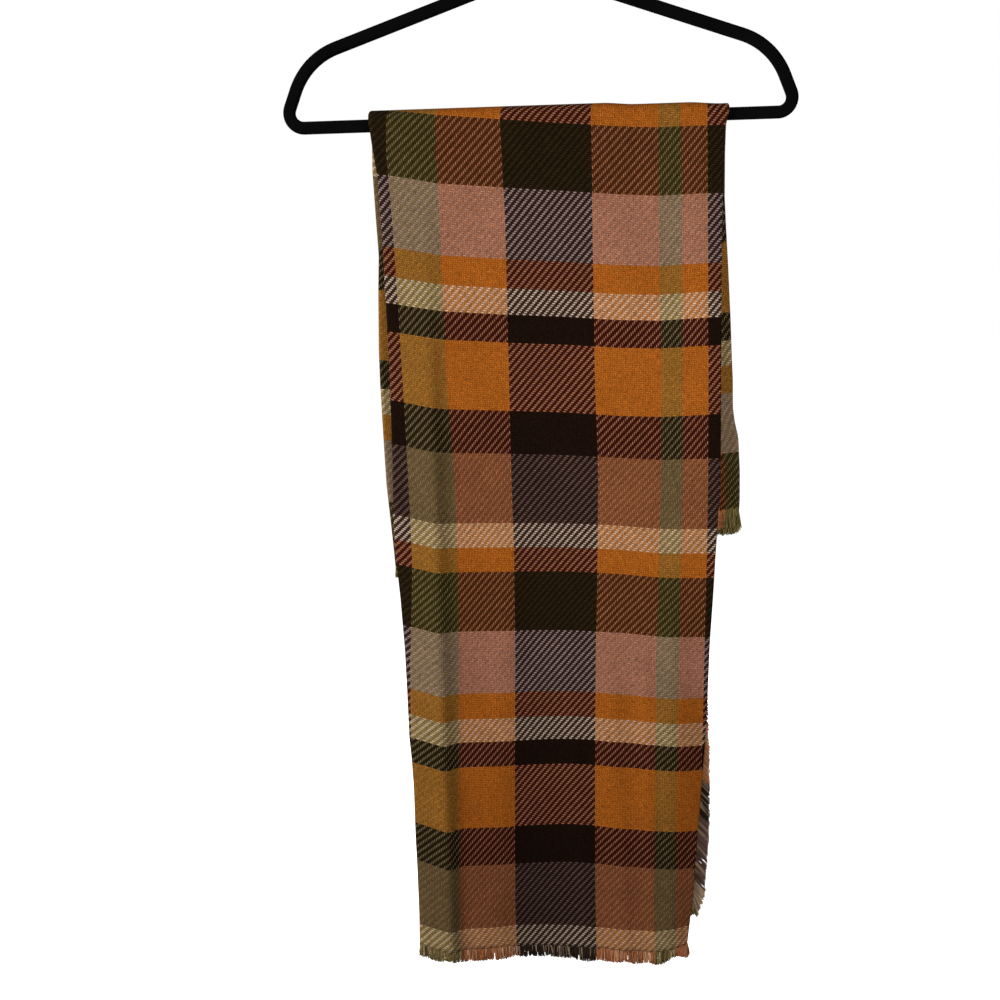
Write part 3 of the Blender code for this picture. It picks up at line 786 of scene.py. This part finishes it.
# %% Colours of the crossing yarns
warp_colour = use_group(twill, warp_stripes, {"Yarn": warp_number}).outputs[0]
weft_colour = use_group(twill, weft_stripes, {"Yarn": weft_number}).outputs[0]
warp_light = put(twill, "ShaderNodeRGBToBW", {0: warp_colour}).outputs[0]
weft_light = put(twill, "ShaderNodeRGBToBW", {0: weft_colour}).outputs[0]
both_light = calc(twill, "ADD", warp_light, weft_light)


def vector_calc(operation, first, second):
    """The output of a Vector Math node in the twill."""
    return put(twill, "ShaderNodeVectorMath", {0: first, 1: second}, operation=operation).outputs[0]


DARKEST = (0.0004, 0.0004, 0.0004)  # no channel of a yarn falls under this
warp_hue = vector_calc("SUBTRACT", warp_colour, warp_light)
weft_hue = vector_calc("SUBTRACT", weft_colour, weft_light)


def fuzzed(own_colour, own_hue, other_hue, own_light):
    """A yarn's colour after the other yarn's loose fibres have lent it some of their hue."""
    share = put(twill, "ShaderNodeMapRange",
                {"Value": calc(twill, "DIVIDE", own_light, both_light), "From Max": 0.45,
                 "To Min": calc(twill, "MULTIPLY", given["Hue Blend"], 0.14),
                 "To Max": given["Hue Blend"]}).outputs[0]
    towards = scaled(twill, vector_calc("SUBTRACT", other_hue, own_hue),
                     calc(twill, "MULTIPLY", share, 0.5))
    return vector_calc("MAXIMUM", vector_calc("ADD", own_colour, towards), DARKEST)


warp_seen = fuzzed(warp_colour, warp_hue, weft_hue, warp_light)
weft_seen = fuzzed(weft_colour, weft_hue, warp_hue, weft_light)
on_top = mixed(twill, warp_up, weft_seen, warp_seen)
darker = mixed(twill, 1.0, weft_seen, warp_seen, "DARKEN")
between_them = mixed(twill, 0.5, weft_seen, warp_seen)
light_gap = calc(twill, "ABSOLUTE", calc(twill, "SUBTRACT", warp_light, weft_light))
contrast = calc(twill, "DIVIDE", light_gap, both_light)
at_rim = mixed(twill, contrast, between_them, darker)
woven = mixed(twill, given["Fuzz"], mixed(twill, covered, on_top, at_rim), between_them)

# %% Fibres and shade
warp_grain = put(twill, "ShaderNodeCombineXYZ",
                 {0: across_yarns, 1: calc(twill, "MULTIPLY", along_yarns, 0.3)}).outputs[0]
weft_grain = put(twill, "ShaderNodeCombineXYZ",
                 {0: calc(twill, "MULTIPLY", across_yarns, 0.3), 1: along_yarns}).outputs[0]
grain_place = put(twill, "ShaderNodeMix", {0: warp_up, 4: weft_grain, 5: warp_grain},
                  data_type="VECTOR")
fibre = put(twill, "ShaderNodeTexNoise",
            {"Vector": grain_place.outputs[1], "Scale": 1.1, "Detail": 3.0, "Roughness": 0.6})
tone = put(twill, "ShaderNodeMapRange",
           {"Value": fibre.outputs[0], "From Min": 0.3, "From Max": 0.7,
            "To Min": calc(twill, "SUBTRACT", 1.0, given["Heather"]),
            "To Max": calc(twill, "ADD", 1.0, given["Heather"])}).outputs[0]
# Painted shade: the colour is darkened where a yarn lies low, at its sides and the ends of its floats,
# as shade falls in the hollows between yarns.
shade = calc(twill, "MULTIPLY_ADD", height, given["Painted Crevice Shade"],
             calc(twill, "SUBTRACT", 1.0, given["Painted Crevice Shade"]))
feed(twill, leave, {"Color": scaled(twill, woven, calc(twill, "MULTIPLY", shade, tone)),
                    "Height": height})
print("twill group:", len(twill.nodes), "nodes")

# %% [markdown]
# ## Cloth finish
# The material itself only joins things up: the sheet's own UV map feeds the twill group, a broad
# soft noise fades the dye a little from place to place, and the group's height goes through a Bump
# node. Brushed wool scatters light at grazing angles, which is the shader's sheen.

# %% Cloth material
cloth_finish, tree, shader = finish_named("brushed_plaid_wool")
place = put(tree, "ShaderNodeUVMap", uv_map="cloth_place").outputs[0]
weave = use_group(tree, twill, {"Place": place, "Warp Pitch": WARP_PITCH, "Weft Pitch": WEFT_PITCH,
                                "Warp Width": 0.53, "Weft Width": 0.715, "Softness": 0.26,
                                "Painted Crevice Shade": 0.54, "Heather": 0.42, "Hue Blend": 0.70, "Fuzz": 0.065})
fade = put(tree, "ShaderNodeTexNoise", {"Vector": place, "Scale": 26.0, "Detail": 2.0})
faded = put(tree, "ShaderNodeMapRange", {"Value": fade.outputs[0], "From Min": 0.3, "From Max": 0.7,
                                         "To Min": 0.93, "To Max": 1.07}).outputs[0]
bump = put(tree, "ShaderNodeBump", {"Height": weave.outputs["Height"], "Strength": 0.7,
                                    "Distance": 0.4 * MM})
feed(tree, shader, {"Base Color": scaled(tree, weave.outputs["Color"], faded),
                    "Normal": bump.outputs[0]})
set_plain(shader, Roughness=0.95, Specular_IOR_Level=0.02, Sheen_Weight=0.01, Sheen_Roughness=0.5)
cloth.data.materials.clear()
cloth.data.materials.append(cloth_finish)
print(cloth_finish.name, "on", cloth.name)

# %% [markdown]
# ## Loose threads
# The hems and the selvedges are cut and left to fray. Each yarn opens into a few strands that hang
# and curl on their own. Geometry Nodes suit this: a point for each strand, a short line set on
# each point, turned and stretched by the point's own attributes, bent by noise and given a round
# section that thins to the tip. The strand keeps its yarn's place, which its material reads.

# %% Thread tree
def geometry_tree(name, takes):
    """An empty geometry tree with named sockets, as (tree, inputs, output node)."""
    tree = bpy.data.node_groups.new(name, "GeometryNodeTree")
    tree.is_modifier = True
    tree.interface.new_socket("Geometry", in_out="INPUT", socket_type="NodeSocketGeometry")
    for label, kind in takes:
        tree.interface.new_socket(label, in_out="INPUT", socket_type=kind)
    tree.interface.new_socket("Geometry", in_out="OUTPUT", socket_type="NodeSocketGeometry")
    entry = tree.nodes.new("NodeGroupInput")
    leave = tree.nodes.new("NodeGroupOutput")
    return tree, entry.outputs, leave


def grow(obj, tree, values):
    """Adds the tree to the object, sets its inputs by identifier, and makes the result plain."""
    modifier = obj.modifiers.new(tree.name, "NODES")
    modifier.node_group = tree
    sockets = {item.name: item.identifier for item in tree.interface.items_tree
               if item.in_out == "INPUT"}
    for label, value in values.items():
        modifier[sockets[label]] = value
    return baked(obj)


def named(tree, name, kind):
    """A named attribute of the geometry."""
    return put(tree, "GeometryNodeInputNamedAttribute", {"Name": name}, data_type=kind).outputs[0]


STRAND_POINTS = 6
STRAND_SIDES = 4
THIN_FROM = 0.35  # share of the strand, from its root, that keeps its full thickness
APART = 7.13  # from one strand's number to the next in the noise, so that they bend differently
threads, given, leave = geometry_tree("loose_threads", [
    ("Strand Radius", "NodeSocketFloat"), ("Tip Share", "NodeSocketFloat"),
    ("Sway", "NodeSocketFloat"), ("Curl", "NodeSocketFloat"), ("Curl Waves", "NodeSocketFloat"),
    ("Seed", "NodeSocketInt"), ("Finish", "NodeSocketMaterial")])
roots = put(threads, "GeometryNodeMeshToPoints", {"Mesh": given["Geometry"]}).outputs[0]
strand = put(threads, "GeometryNodeCurvePrimitiveLine", {"Start": (0, 0, 0), "End": (0, 0, 1)})
strand = put(threads, "GeometryNodeResampleCurve", {"Curve": strand.outputs[0],
                                                    "Count": STRAND_POINTS})
number = put(threads, "GeometryNodeInputIndex").outputs[0]
numbered = put(threads, "GeometryNodeStoreNamedAttribute",
               {"Geometry": roots, "Name": "strand", "Value": number},
               data_type="FLOAT", domain="POINT").outputs[0]
fall = named(threads, "fall", "FLOAT_VECTOR")
facing = put(threads, "FunctionNodeAlignRotationToVector", {"Vector": fall}, axis="Z").outputs[0]
long = put(threads, "ShaderNodeVectorMath", {0: fall}, operation="LENGTH").outputs["Value"]
stretch = put(threads, "ShaderNodeCombineXYZ", {0: 1.0, 1: 1.0, 2: long}).outputs[0]
placed = put(threads, "GeometryNodeInstanceOnPoints",
             {"Points": numbered, "Instance": strand.outputs[0], "Rotation": facing,
              "Scale": stretch}).outputs[0]
lines = put(threads, "GeometryNodeRealizeInstances", {"Geometry": placed}).outputs[0]
down_strand = put(threads, "GeometryNodeSplineParameter").outputs["Factor"]
own_number = named(threads, "strand", "FLOAT")
clump_number = named(threads, "clump", "FLOAT")


def wander(number_socket, waves, reach_socket, power, seed_shift):
    """An offset that grows down the strand, from noise read at the strand's own number."""
    seed = calc(threads, "ADD", given["Seed"], seed_shift)
    where = put(threads, "ShaderNodeCombineXYZ",
                {0: calc(threads, "MULTIPLY", number_socket, APART),
                 1: calc(threads, "MULTIPLY", down_strand, waves), 2: seed}).outputs[0]
    drawn = put(threads, "ShaderNodeTexNoise", {"Vector": where, "Scale": 1.0, "Detail": 1.0})
    centred = put(threads, "ShaderNodeVectorMath", {0: drawn.outputs["Color"], 1: (0.5, 0.5, 0.5)},
                  operation="SUBTRACT").outputs[0]
    amount = calc(threads, "MULTIPLY", calc(threads, "POWER", down_strand, power), reach_socket)
    return scaled(threads, centred, amount)


curl = wander(own_number, given["Curl Waves"], given["Curl"], 0.8, 3.0)
sway = wander(clump_number, 0.4, given["Sway"], 1.3, 11.0)
shift = put(threads, "ShaderNodeVectorMath", {0: curl, 1: sway}, operation="ADD").outputs[0]
bent = put(threads, "GeometryNodeSetPosition", {"Geometry": lines, "Offset": shift}).outputs[0]
kept = put(threads, "GeometryNodeStoreNamedAttribute",
           {"Geometry": bent, "Name": "down_strand", "Value": down_strand},
           data_type="FLOAT", domain="POINT").outputs[0]
tip_radius = calc(threads, "MULTIPLY", given["Strand Radius"], given["Tip Share"])
thin = put(threads, "ShaderNodeMapRange",
           {"Value": down_strand, "From Min": THIN_FROM, "To Min": given["Strand Radius"],
            "To Max": tip_radius}).outputs[0]
section = put(threads, "GeometryNodeCurvePrimitiveCircle", {"Resolution": STRAND_SIDES, "Radius": 1.0})
skin = put(threads, "GeometryNodeCurveToMesh",
           {"Curve": kept, "Profile Curve": section.outputs[0], "Scale": thin, "Fill Caps": True})
smoothed = put(threads, "GeometryNodeSetShadeSmooth", {"Geometry": skin.outputs[0]}).outputs[0]
plain = put(threads, "GeometryNodeRealizeInstances", {"Geometry": smoothed}).outputs[0]
dyed = put(threads, "GeometryNodeSetMaterial", {"Geometry": plain, "Material": given["Finish"]})
feed(threads, leave, {0: dyed.outputs[0]})
print("loose_threads tree:", len(threads.nodes), "nodes")

# %% Thread finish
# Pale strands are partly loose pale wool and partly painted highlights, the bright glints of lit
# strands.
PALE_WOOL_AND_HIGHLIGHT = (0.48, 0.32, 0.20, 1.0)
TONES = (0.42, 1.6)  # the darkest and the lightest strand, as a share of the yarn's colour

thread_finish, tree, shader = finish_named("frayed_wool")
root = put(tree, "ShaderNodeAttribute", attribute_name="root")
parts = put(tree, "ShaderNodeSeparateXYZ", {0: root.outputs["Vector"]}).outputs
warp_number = calc(tree, "FLOOR", calc(tree, "DIVIDE", parts[0], WARP_PITCH))
weft_number = calc(tree, "FLOOR", calc(tree, "DIVIDE", parts[1], WEFT_PITCH))
from_warp = use_group(tree, warp_stripes, {"Yarn": warp_number}).outputs[0]
from_weft = use_group(tree, weft_stripes, {"Yarn": weft_number}).outputs[0]
yarn = mixed(tree, parts[2], from_warp, from_weft)
dusty = put(tree, "ShaderNodeHueSaturation",
            {"Saturation": 0.9, "Value": 1.08, "Color": yarn}).outputs[0]
chance = put(tree, "ShaderNodeTexWhiteNoise",
             {"W": put(tree, "ShaderNodeAttribute", attribute_name="strand").outputs["Fac"]},
             noise_dimensions="1D")
pale = put(tree, "ShaderNodeAttribute", attribute_name="pale").outputs["Fac"]
with_pale = mixed(tree, calc(tree, "MULTIPLY_ADD", pale, 0.6, 0.03), dusty, PALE_WOOL_AND_HIGHLIGHT)
tone = put(tree, "ShaderNodeMapRange", {"Value": chance.outputs["Value"], "To Min": TONES[0],
                                        "To Max": TONES[1]}).outputs[0]
feed(tree, shader, {"Base Color": scaled(tree, with_pale, tone)})
set_plain(shader, Roughness=0.85, Specular_IOR_Level=0.04, Sheen_Weight=0.02)
print(thread_finish.name + ":", len(tree.nodes), "nodes")

# %% Strand roots
rng = np.random.default_rng(41)
SIDE_LENGTH = (14.4 * MM, 16.0 * MM)
LOBE = 22.0 * MM  # the hem threads end in rounded lobes about this wide
NOTCH_SHARE, LOBE_RISE, LOBE_POWER = 0.84, 0.17, 0.6  # length in a notch, what a lobe adds, its shape
HEM_CUT = (0.92, 1.02)  # least and greatest share of its length that a hem strand has
SWING = 0.10  # how far strands swing sideways, as a share of their length or in radians
CLUMP_YARNS = 3.0
GATHER, GATHER_NOISE = 0.10, 0.15  # how far strands draw in to the middle of their clump
# Share of strands drawn pale, as pale loose wool together with painted highlights on lit strands.
PALE_AND_HIGHLIGHT_SHARE = 0.06  # of the strands
TOP_OFF = 1.0 * MM  # they lie on top, by this
SIDE_LEAN, SIDE_LEAN_NOISE = 0.84, 0.10  # how steeply the side threads hang, in radians
SIDE_LEAN_AT_HEM = 0.45  # and how much more steeply at the hem
# x and thread length along each hem
FRONT_THREADS = np.array(((-140, 12), (-122, 12), (-114, 9.5), (-104, 10), (-96, 12.5), (-70, 12.5),
                          (-40, 11.5), (0, 12), (10, 14), (40, 14.5), (56, 12.5), (96, 13), (104, 9),
                          (112, 8.5), (116, 11.5), (125, 12.5))) * MM
BACK_THREADS = np.array(((-148, 13), (60, 15), (160, 20), (168, 19), (174, 15))) * MM
# x in mm and how far the threads spread sideways there, as a share of their length
FRONT_FLARE = ((-140, -0.12), (-132, 0.0), (112, 0.0), (122, 0.22), (131, 0.1))
BACK_FLARE = ((-148, 0.0), (152, -0.10), (162, -0.02), (173, 0.13))
ROOT_INSIDE = 1.2 * MM  # how far inside the selvedge the side threads start
HANG_FROM = 26.0 * MM  # side threads this near the hem hang more steeply


def lobe(u, row):
    """Share of the full length that a hem thread reaches: rounded lobes and narrow notches."""
    across = u / LOBE + 0.5 * noise.noise((u / (1.7 * LOBE), row * 0.1, 4.0))
    return NOTCH_SHARE + LOBE_RISE * abs(math.sin(math.pi * across)) ** LOBE_POWER


def read_row(row, at_u):
    """x, y and z of one row of the sheet at each u."""
    order = np.argsort(U[row])
    return [np.interp(at_u, U[row][order], grid[row][order]) for grid in (X, Y, Z)]


def root_mesh(name, places, falls, roots, clumps, pales):
    """A mesh of loose points, one for each strand, with what the thread tree reads there."""
    mesh = bpy.data.meshes.new(name)
    mesh.from_pydata(places.tolist(), [], [])
    for label, kind, data in (("fall", "FLOAT_VECTOR", falls), ("root", "FLOAT_VECTOR", roots)):
        layer = mesh.attributes.new(label, kind, "POINT")
        layer.data.foreach_set("vector", data.astype(np.float32).ravel())
    for label, data in (("clump", clumps), ("pale", pales)):
        layer = mesh.attributes.new(label, "FLOAT", "POINT")
        layer.data.foreach_set("value", data.astype(np.float32))
    return link(bpy.data.objects.new(name, mesh))


def hem_roots(name, row, side, per_yarn, hidden_per_yarn, dense_from, lengths, flare):
    """Strands of every warp yarn along one hem: fewer on hidden layers, most in the right end."""
    numbers = np.arange(math.ceil(U[row].min() / WARP_PITCH), math.floor(U[row].max() / WARP_PITCH))
    clump_of = np.floor(numbers / CLUMP_YARNS + 0.45 * np.sin(numbers * 1.7))
    spread = np.array(flare)
    places, falls, roots, clumps, pales = [], [], [], [], []
    face_from, face_to = U[row, first_face - 3], U[row, last_face + 3]
    for number, clump in zip(numbers, clump_of):
        middle = (number + 0.5) * WARP_PITCH
        centre = (numbers[clump_of == clump].mean() + 0.5) * WARP_PITCH
        gather = GATHER + GATHER_NOISE * noise.noise((clump * 3.7, row * 0.1, 1.0))
        count = per_yarn if face_from < middle < face_to else hidden_per_yarn
        if float(read_row(row, middle)[0]) > dense_from:
            count = 2 * per_yarn
        for _ in range(count):
            u = middle + rng.uniform(-0.6, 0.6) * WARP_PITCH
            x, y, z = (float(a) for a in read_row(row, u))
            length = along(lengths, x) * lobe(u, row) * rng.uniform(*HEM_CUT)
            sideways = (centre - u) * gather + rng.uniform(-SWING, SWING) * length
            sideways += np.interp(x / MM, spread[:, 0], spread[:, 1]) * length
            pale = float(rng.random() < PALE_AND_HIGHLIGHT_SHARE)
            y += side * (TOP_OFF if pale else rng.uniform(-0.5, 0.75) * MM)
            places.append((x, y, z + rng.uniform(0.4, 2.0) * MM))
            falls.append((sideways, side * rng.uniform(-0.08, 0.08) * length, -length))
            roots.append((middle, 0.0, 0.0))
            clumps.append(clump)
            pales.append(pale)
    return root_mesh(name, *(np.array(a) for a in (places, falls, roots, clumps, pales)))


def side_roots(name, first_row, last_row, side, per_yarn):
    """Strands of every weft yarn along the rear layer's selvedge, hanging more at the hem."""
    row_list = np.arange(min(first_row, last_row), max(first_row, last_row) + 1)
    order = np.argsort(V[row_list, 0])
    vs = V[row_list, 0][order]
    hem_v = vs[-1] if vs[-1] > -vs[0] else vs[0]
    places, falls, roots, clumps, pales = [], [], [], [], []
    for number in range(math.ceil(vs[0] / WEFT_PITCH), math.floor(vs[-1] / WEFT_PITCH)):
        middle = (number + 0.5) * WEFT_PITCH
        near_hem = float(smooth(1.0 - abs(hem_v - middle) / HANG_FROM))
        for _ in range(per_yarn):
            v = middle + rng.uniform(-0.5, 0.5) * WEFT_PITCH
            x, y, z = (float(np.interp(v, vs, grid[row_list, 0][order])) for grid in (X, Y, Z))
            length = rng.uniform(*SIDE_LENGTH) * (1.0 + 0.10 * noise.noise((v / (14 * MM), 5.0, 2.0)))
            lean = SIDE_LEAN + SIDE_LEAN_NOISE * noise.noise((v / (18 * MM), 2.0, 9.0))
            lean += SIDE_LEAN_AT_HEM * near_hem + rng.uniform(-SWING, SWING)
            pale = float(rng.random() < PALE_AND_HIGHLIGHT_SHARE)
            y += side * (TOP_OFF if pale else rng.uniform(-0.6, 0.7) * MM)
            places.append((x - ROOT_INSIDE, y, z))
            falls.append((math.cos(lean) * length, rng.uniform(-0.08, 0.08) * length,
                          -math.sin(lean) * length))
            roots.append((0.0, middle, 1.0))
            clumps.append(float(number // 2))
            pales.append(pale)
    return root_mesh(name, *(np.array(a) for a in (places, falls, roots, clumps, pales)))


# %% Grow the threads
STRAND = {"Strand Radius": 0.42 * MM, "Tip Share": 0.7, "Sway": 1.1 * MM, "Curl": 3.2 * MM,
          "Curl Waves": 3.0, "Finish": thread_finish}
last_row = count_rows - 1
bar_back, bar_front = BACK_DROP_ROWS, BACK_DROP_ROWS + 2 * TURN_ROWS
fringes = {
    "front_hem_threads": hem_roots("front_hem_threads", last_row, -1.0, 11, 2, 106 * MM,
                                   FRONT_THREADS, FRONT_FLARE),
    "back_hem_threads": hem_roots("back_hem_threads", 0, 1.0, 7, 3, 146 * MM, BACK_THREADS,
                                  BACK_FLARE),
    "front_side_threads": side_roots("front_side_threads", bar_front, last_row, -1.0, 10),
    "back_side_threads": side_roots("back_side_threads", 0, bar_back, 1.0, 7),
}
for seed, (name, fringe) in enumerate(fringes.items()):
    sides = {"Sway": 0.7 * MM, "Curl": 2.2 * MM, "Curl Waves": 1.8} if "side" in name else {}
    grow(fringe, threads, {**STRAND, **sides, "Seed": seed})
    fringe.data.calc_loop_triangles()
    print(name, len(fringe.data.loop_triangles), "triangles")

# %% [markdown]
# ## Hanger
# The hanger is a slim bar bent into a closed triangle and covered in short black flock. A rounded
# section carried along a path makes it, and the same tree carries a round section along the wire
# of the hook. The corners of the path are true arcs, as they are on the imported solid.

# %% Section tree
carry, given, leave = geometry_tree("carried_section", [
    ("Section Width", "NodeSocketFloat"), ("Section Height", "NodeSocketFloat"),
    ("Corner Radius", "NodeSocketFloat"), ("Corner Steps", "NodeSocketInt"),
    ("Finish", "NodeSocketMaterial")])
path = put(carry, "GeometryNodeMeshToCurve", {"Mesh": given["Geometry"]}).outputs[0]
flat = put(carry, "GeometryNodeCurvePrimitiveQuadrilateral",
           {"Width": given["Section Width"], "Height": given["Section Height"]}).outputs[0]
section = put(carry, "GeometryNodeFilletCurve",
              {"Curve": flat, "Radius": given["Corner Radius"], "Count": given["Corner Steps"]},
              mode="POLY")
skin = put(carry, "GeometryNodeCurveToMesh", {"Curve": path, "Profile Curve": section.outputs[0],
                                              "Fill Caps": True})
smoothed = put(carry, "GeometryNodeSetShadeSmooth", {"Geometry": skin.outputs[0]}).outputs[0]
plain = put(carry, "GeometryNodeRealizeInstances", {"Geometry": smoothed}).outputs[0]
coated = put(carry, "GeometryNodeSetMaterial", {"Geometry": plain, "Material": given["Finish"]})
feed(carry, leave, {0: coated.outputs[0]})
print("carried_section tree:", len(carry.nodes), "nodes")

# %% Flock and bright metal
flock, tree, shader = finish_named("black_flock")
where = put(tree, "ShaderNodeTexCoord").outputs["Object"]
pile = put(tree, "ShaderNodeTexNoise", {"Vector": where, "Scale": 2600.0, "Detail": 2.0})
worn = put(tree, "ShaderNodeTexNoise", {"Vector": where, "Scale": 45.0, "Detail": 3.0})
ramp = put(tree, "ShaderNodeValToRGB", {"Fac": worn.outputs[0]})
ramp.color_ramp.elements[0].color = (0.0016, 0.0015, 0.0016, 1.0)
ramp.color_ramp.elements[1].color = (0.0034, 0.0032, 0.0033, 1.0)
bump = put(tree, "ShaderNodeBump", {"Height": pile.outputs[0], "Strength": 0.5,
                                    "Distance": 0.2 * MM})
feed(tree, shader, {"Base Color": ramp.outputs[0], "Normal": bump.outputs[0]})
set_plain(shader, Roughness=1.0, Specular_IOR_Level=0.02, Sheen_Weight=0.006)

metal, tree, shader = finish_named("bright_steel")
where = put(tree, "ShaderNodeTexCoord").outputs["Object"]
drawn = put(tree, "ShaderNodeTexNoise", {"Vector": where, "Scale": 900.0, "Detail": 2.0})
rough = put(tree, "ShaderNodeMapRange", {"Value": drawn.outputs[0], "To Min": 0.16,
                                         "To Max": 0.3}).outputs[0]
feed(tree, shader, {"Roughness": rough})
set_plain(shader, Base_Color=(0.62, 0.62, 0.64, 1.0), Metallic=1.0)
print("finishes:", flock.name, "and", metal.name)

# %% Paths
# in mm: x, height and bend of the right half's corners, on the section's middle line
APEX_Z = -82.0
APEX_BEND = 24.0
FRAME_CORNERS = ((200.4, -149.4, 60.0), (223.2, -205.4, 12.1))
BEND_STEPS, SHANK_STEPS, RING_STEPS = 16, 12, 48
FRAME_SECTION = {"Section Width": 6.0 * MM, "Section Height": 10.8 * MM, "Corner Radius": 2.6 * MM,
                 "Corner Steps": 5}
WIRE_SECTION = {"Section Width": 3.6 * MM, "Section Height": 3.6 * MM, "Corner Radius": 1.79 * MM,
                "Corner Steps": 5}
HOOK_RING = 21.8  # the wire's middle, from the hook's centre
HOOK_CENTRE = -20.0
HOOK_FROM_DEG, HOOK_TO_DEG = -52.0, 202.0
SHANK_FOOT, SHANK_BEND, SHANK_PULL = -65.7, -50.0, 7.5


def arc_at(before, corner, after, radius, steps):
    """Points of an arc that rounds a corner of a flat path."""
    corner = Vector(corner)
    one, two = (Vector(before) - corner).normalized(), (Vector(after) - corner).normalized()
    half = one.angle(two) / 2
    centre = corner + (one + two).normalized() * radius / math.sin(half)
    start = corner + one * radius / math.tan(half) - centre
    stop = corner + two * radius / math.tan(half) - centre
    begin = math.atan2(start.y, start.x)
    turn = (math.atan2(stop.y, stop.x) - begin + math.pi) % (2 * math.pi) - math.pi
    return [centre + radius * Vector((math.cos(begin + turn * k / steps),
                                      math.sin(begin + turn * k / steps)))
            for k in range(steps + 1)]


def path_object(name, flat_points, closed):
    """An object of bare edges along points given as x and z in mm."""
    mesh = bpy.data.meshes.new(name)
    count = len(flat_points)
    edges = [(k, (k + 1) % count) for k in range(count if closed else count - 1)]
    mesh.from_pydata([(p[0] * MM, 0.0, p[1] * MM) for p in flat_points], edges, [])
    return link(bpy.data.objects.new(name, mesh))


corners = [(0.0, APEX_Z, APEX_BEND)] + list(FRAME_CORNERS)
corners += [(-x, z, r) for x, z, r in reversed(FRAME_CORNERS)]
frame_path = []
for k, (x, z, radius) in enumerate(corners):
    after = corners[(k + 1) % len(corners)]
    frame_path += arc_at(corners[k - 1][:2], (x, z), after[:2], radius, BEND_STEPS)
hanger_frame = path_object("flocked_frame", frame_path, True)
grow(hanger_frame, carry, {**FRAME_SECTION, "Finish": flock})
print("flocked_frame:", len(hanger_frame.data.polygons), "faces")

# %% Hook
join = math.radians(HOOK_FROM_DEG)
ring_start = Vector((math.cos(join), math.sin(join))) * HOOK_RING + Vector((0.0, HOOK_CENTRE))
pull = Vector((math.sin(join), -math.cos(join))) * SHANK_PULL
shank = [Vector((0.0, SHANK_BEND)), Vector((0.0, SHANK_BEND + SHANK_PULL)), ring_start + pull,
         ring_start]
hook_path = [Vector((0.0, SHANK_FOOT)), Vector((0.0, (SHANK_FOOT + SHANK_BEND) / 2))]
for k in range(SHANK_STEPS + 1):
    t = k / SHANK_STEPS
    weights = ((1 - t) ** 3, 3 * t * (1 - t) ** 2, 3 * t * t * (1 - t), t**3)
    hook_path.append(sum((p * w for p, w in zip(shank, weights)), Vector((0.0, 0.0))))
for k in range(1, RING_STEPS + 1):
    angle = math.radians(HOOK_FROM_DEG + (HOOK_TO_DEG - HOOK_FROM_DEG) * k / RING_STEPS)
    hook_path.append(Vector((math.cos(angle), math.sin(angle))) * HOOK_RING
                     + Vector((0.0, HOOK_CENTRE)))
hanger_hook = path_object("wire_hook", hook_path, False)
grow(hanger_hook, carry, {**WIRE_SECTION, "Finish": metal})
print("wire_hook:", len(hanger_hook.data.polygons), "faces")

# %% Collar
# radius and height in mm, from the foot's middle to the top's middle
COLLAR_PROFILE = ((0.0, -76.2), (2.7, -76.2), (4.0, -76.2), (4.4, -75.6), (4.4, -74.4),
                  (3.9, -74.0), (3.9, -73.6), (4.4, -73.2), (4.4, -69.6), (4.2, -68.8),
                  (3.5, -67.0), (2.2, -66.0), (0.0, -66.0))
COLLAR_SIDES = 40
COLLAR_SHARP_DEG = 35.0
collar_points = [(r * MM * math.cos(2 * math.pi * k / COLLAR_SIDES),
                  r * MM * math.sin(2 * math.pi * k / COLLAR_SIDES), z * MM)
                 for r, z in COLLAR_PROFILE[1:-1] for k in range(COLLAR_SIDES)]
collar_faces = []
for ring in range(len(COLLAR_PROFILE) - 3):
    for k in range(COLLAR_SIDES):
        a, b = ring * COLLAR_SIDES + k, ring * COLLAR_SIDES + (k + 1) % COLLAR_SIDES
        collar_faces.append((a, b, b + COLLAR_SIDES, a + COLLAR_SIDES))
top_ring = (len(COLLAR_PROFILE) - 3) * COLLAR_SIDES
collar_faces.append(tuple(reversed(range(COLLAR_SIDES))))
collar_faces.append(tuple(top_ring + k for k in range(COLLAR_SIDES)))
collar_mesh = bpy.data.meshes.new("turned_collar")
collar_mesh.from_pydata(collar_points, [], collar_faces)
collar_mesh.shade_smooth()
collar_mesh.set_sharp_from_angle(angle=math.radians(COLLAR_SHARP_DEG))
collar_mesh.materials.append(metal)
collar = link(bpy.data.objects.new("turned_collar", collar_mesh))
print("turned_collar:", len(collar_mesh.polygons), "faces")

# %% [markdown]
# ## Pieces on the one body
# Every piece rides on the one body, and the imported solids that it stands for are hidden and
# printed.

# %% Pieces and their solids
STANDS_FOR = (
    (cloth, "scarf_cloth", ("front_outer", "front_inner", "back_outer", "back_inner")),
    (fringes["front_hem_threads"], "fringe_thread",
     ("front_hem_fringe", "front_inner_fringe", "front_rear_fringe")),
    (fringes["back_hem_threads"], "fringe_thread",
     ("back_hem_fringe", "back_inner_fringe", "back_rear_fringe")),
    (fringes["front_side_threads"], "fringe_thread", ("front_side_fringe",)),
    (fringes["back_side_threads"], "fringe_thread", ("back_side_fringe",)),
    (hanger_frame, "flock", ("hanger_frame",)),
    (hanger_hook, "hook_metal", ("hanger_hook",)),
    (collar, "hook_metal", ("hanger_collar",)),
)
for piece, slot_name, nodes in STANDS_FOR:
    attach(piece, "root")
    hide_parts(*nodes)
    print(piece.name, "stands for", ", ".join(nodes))
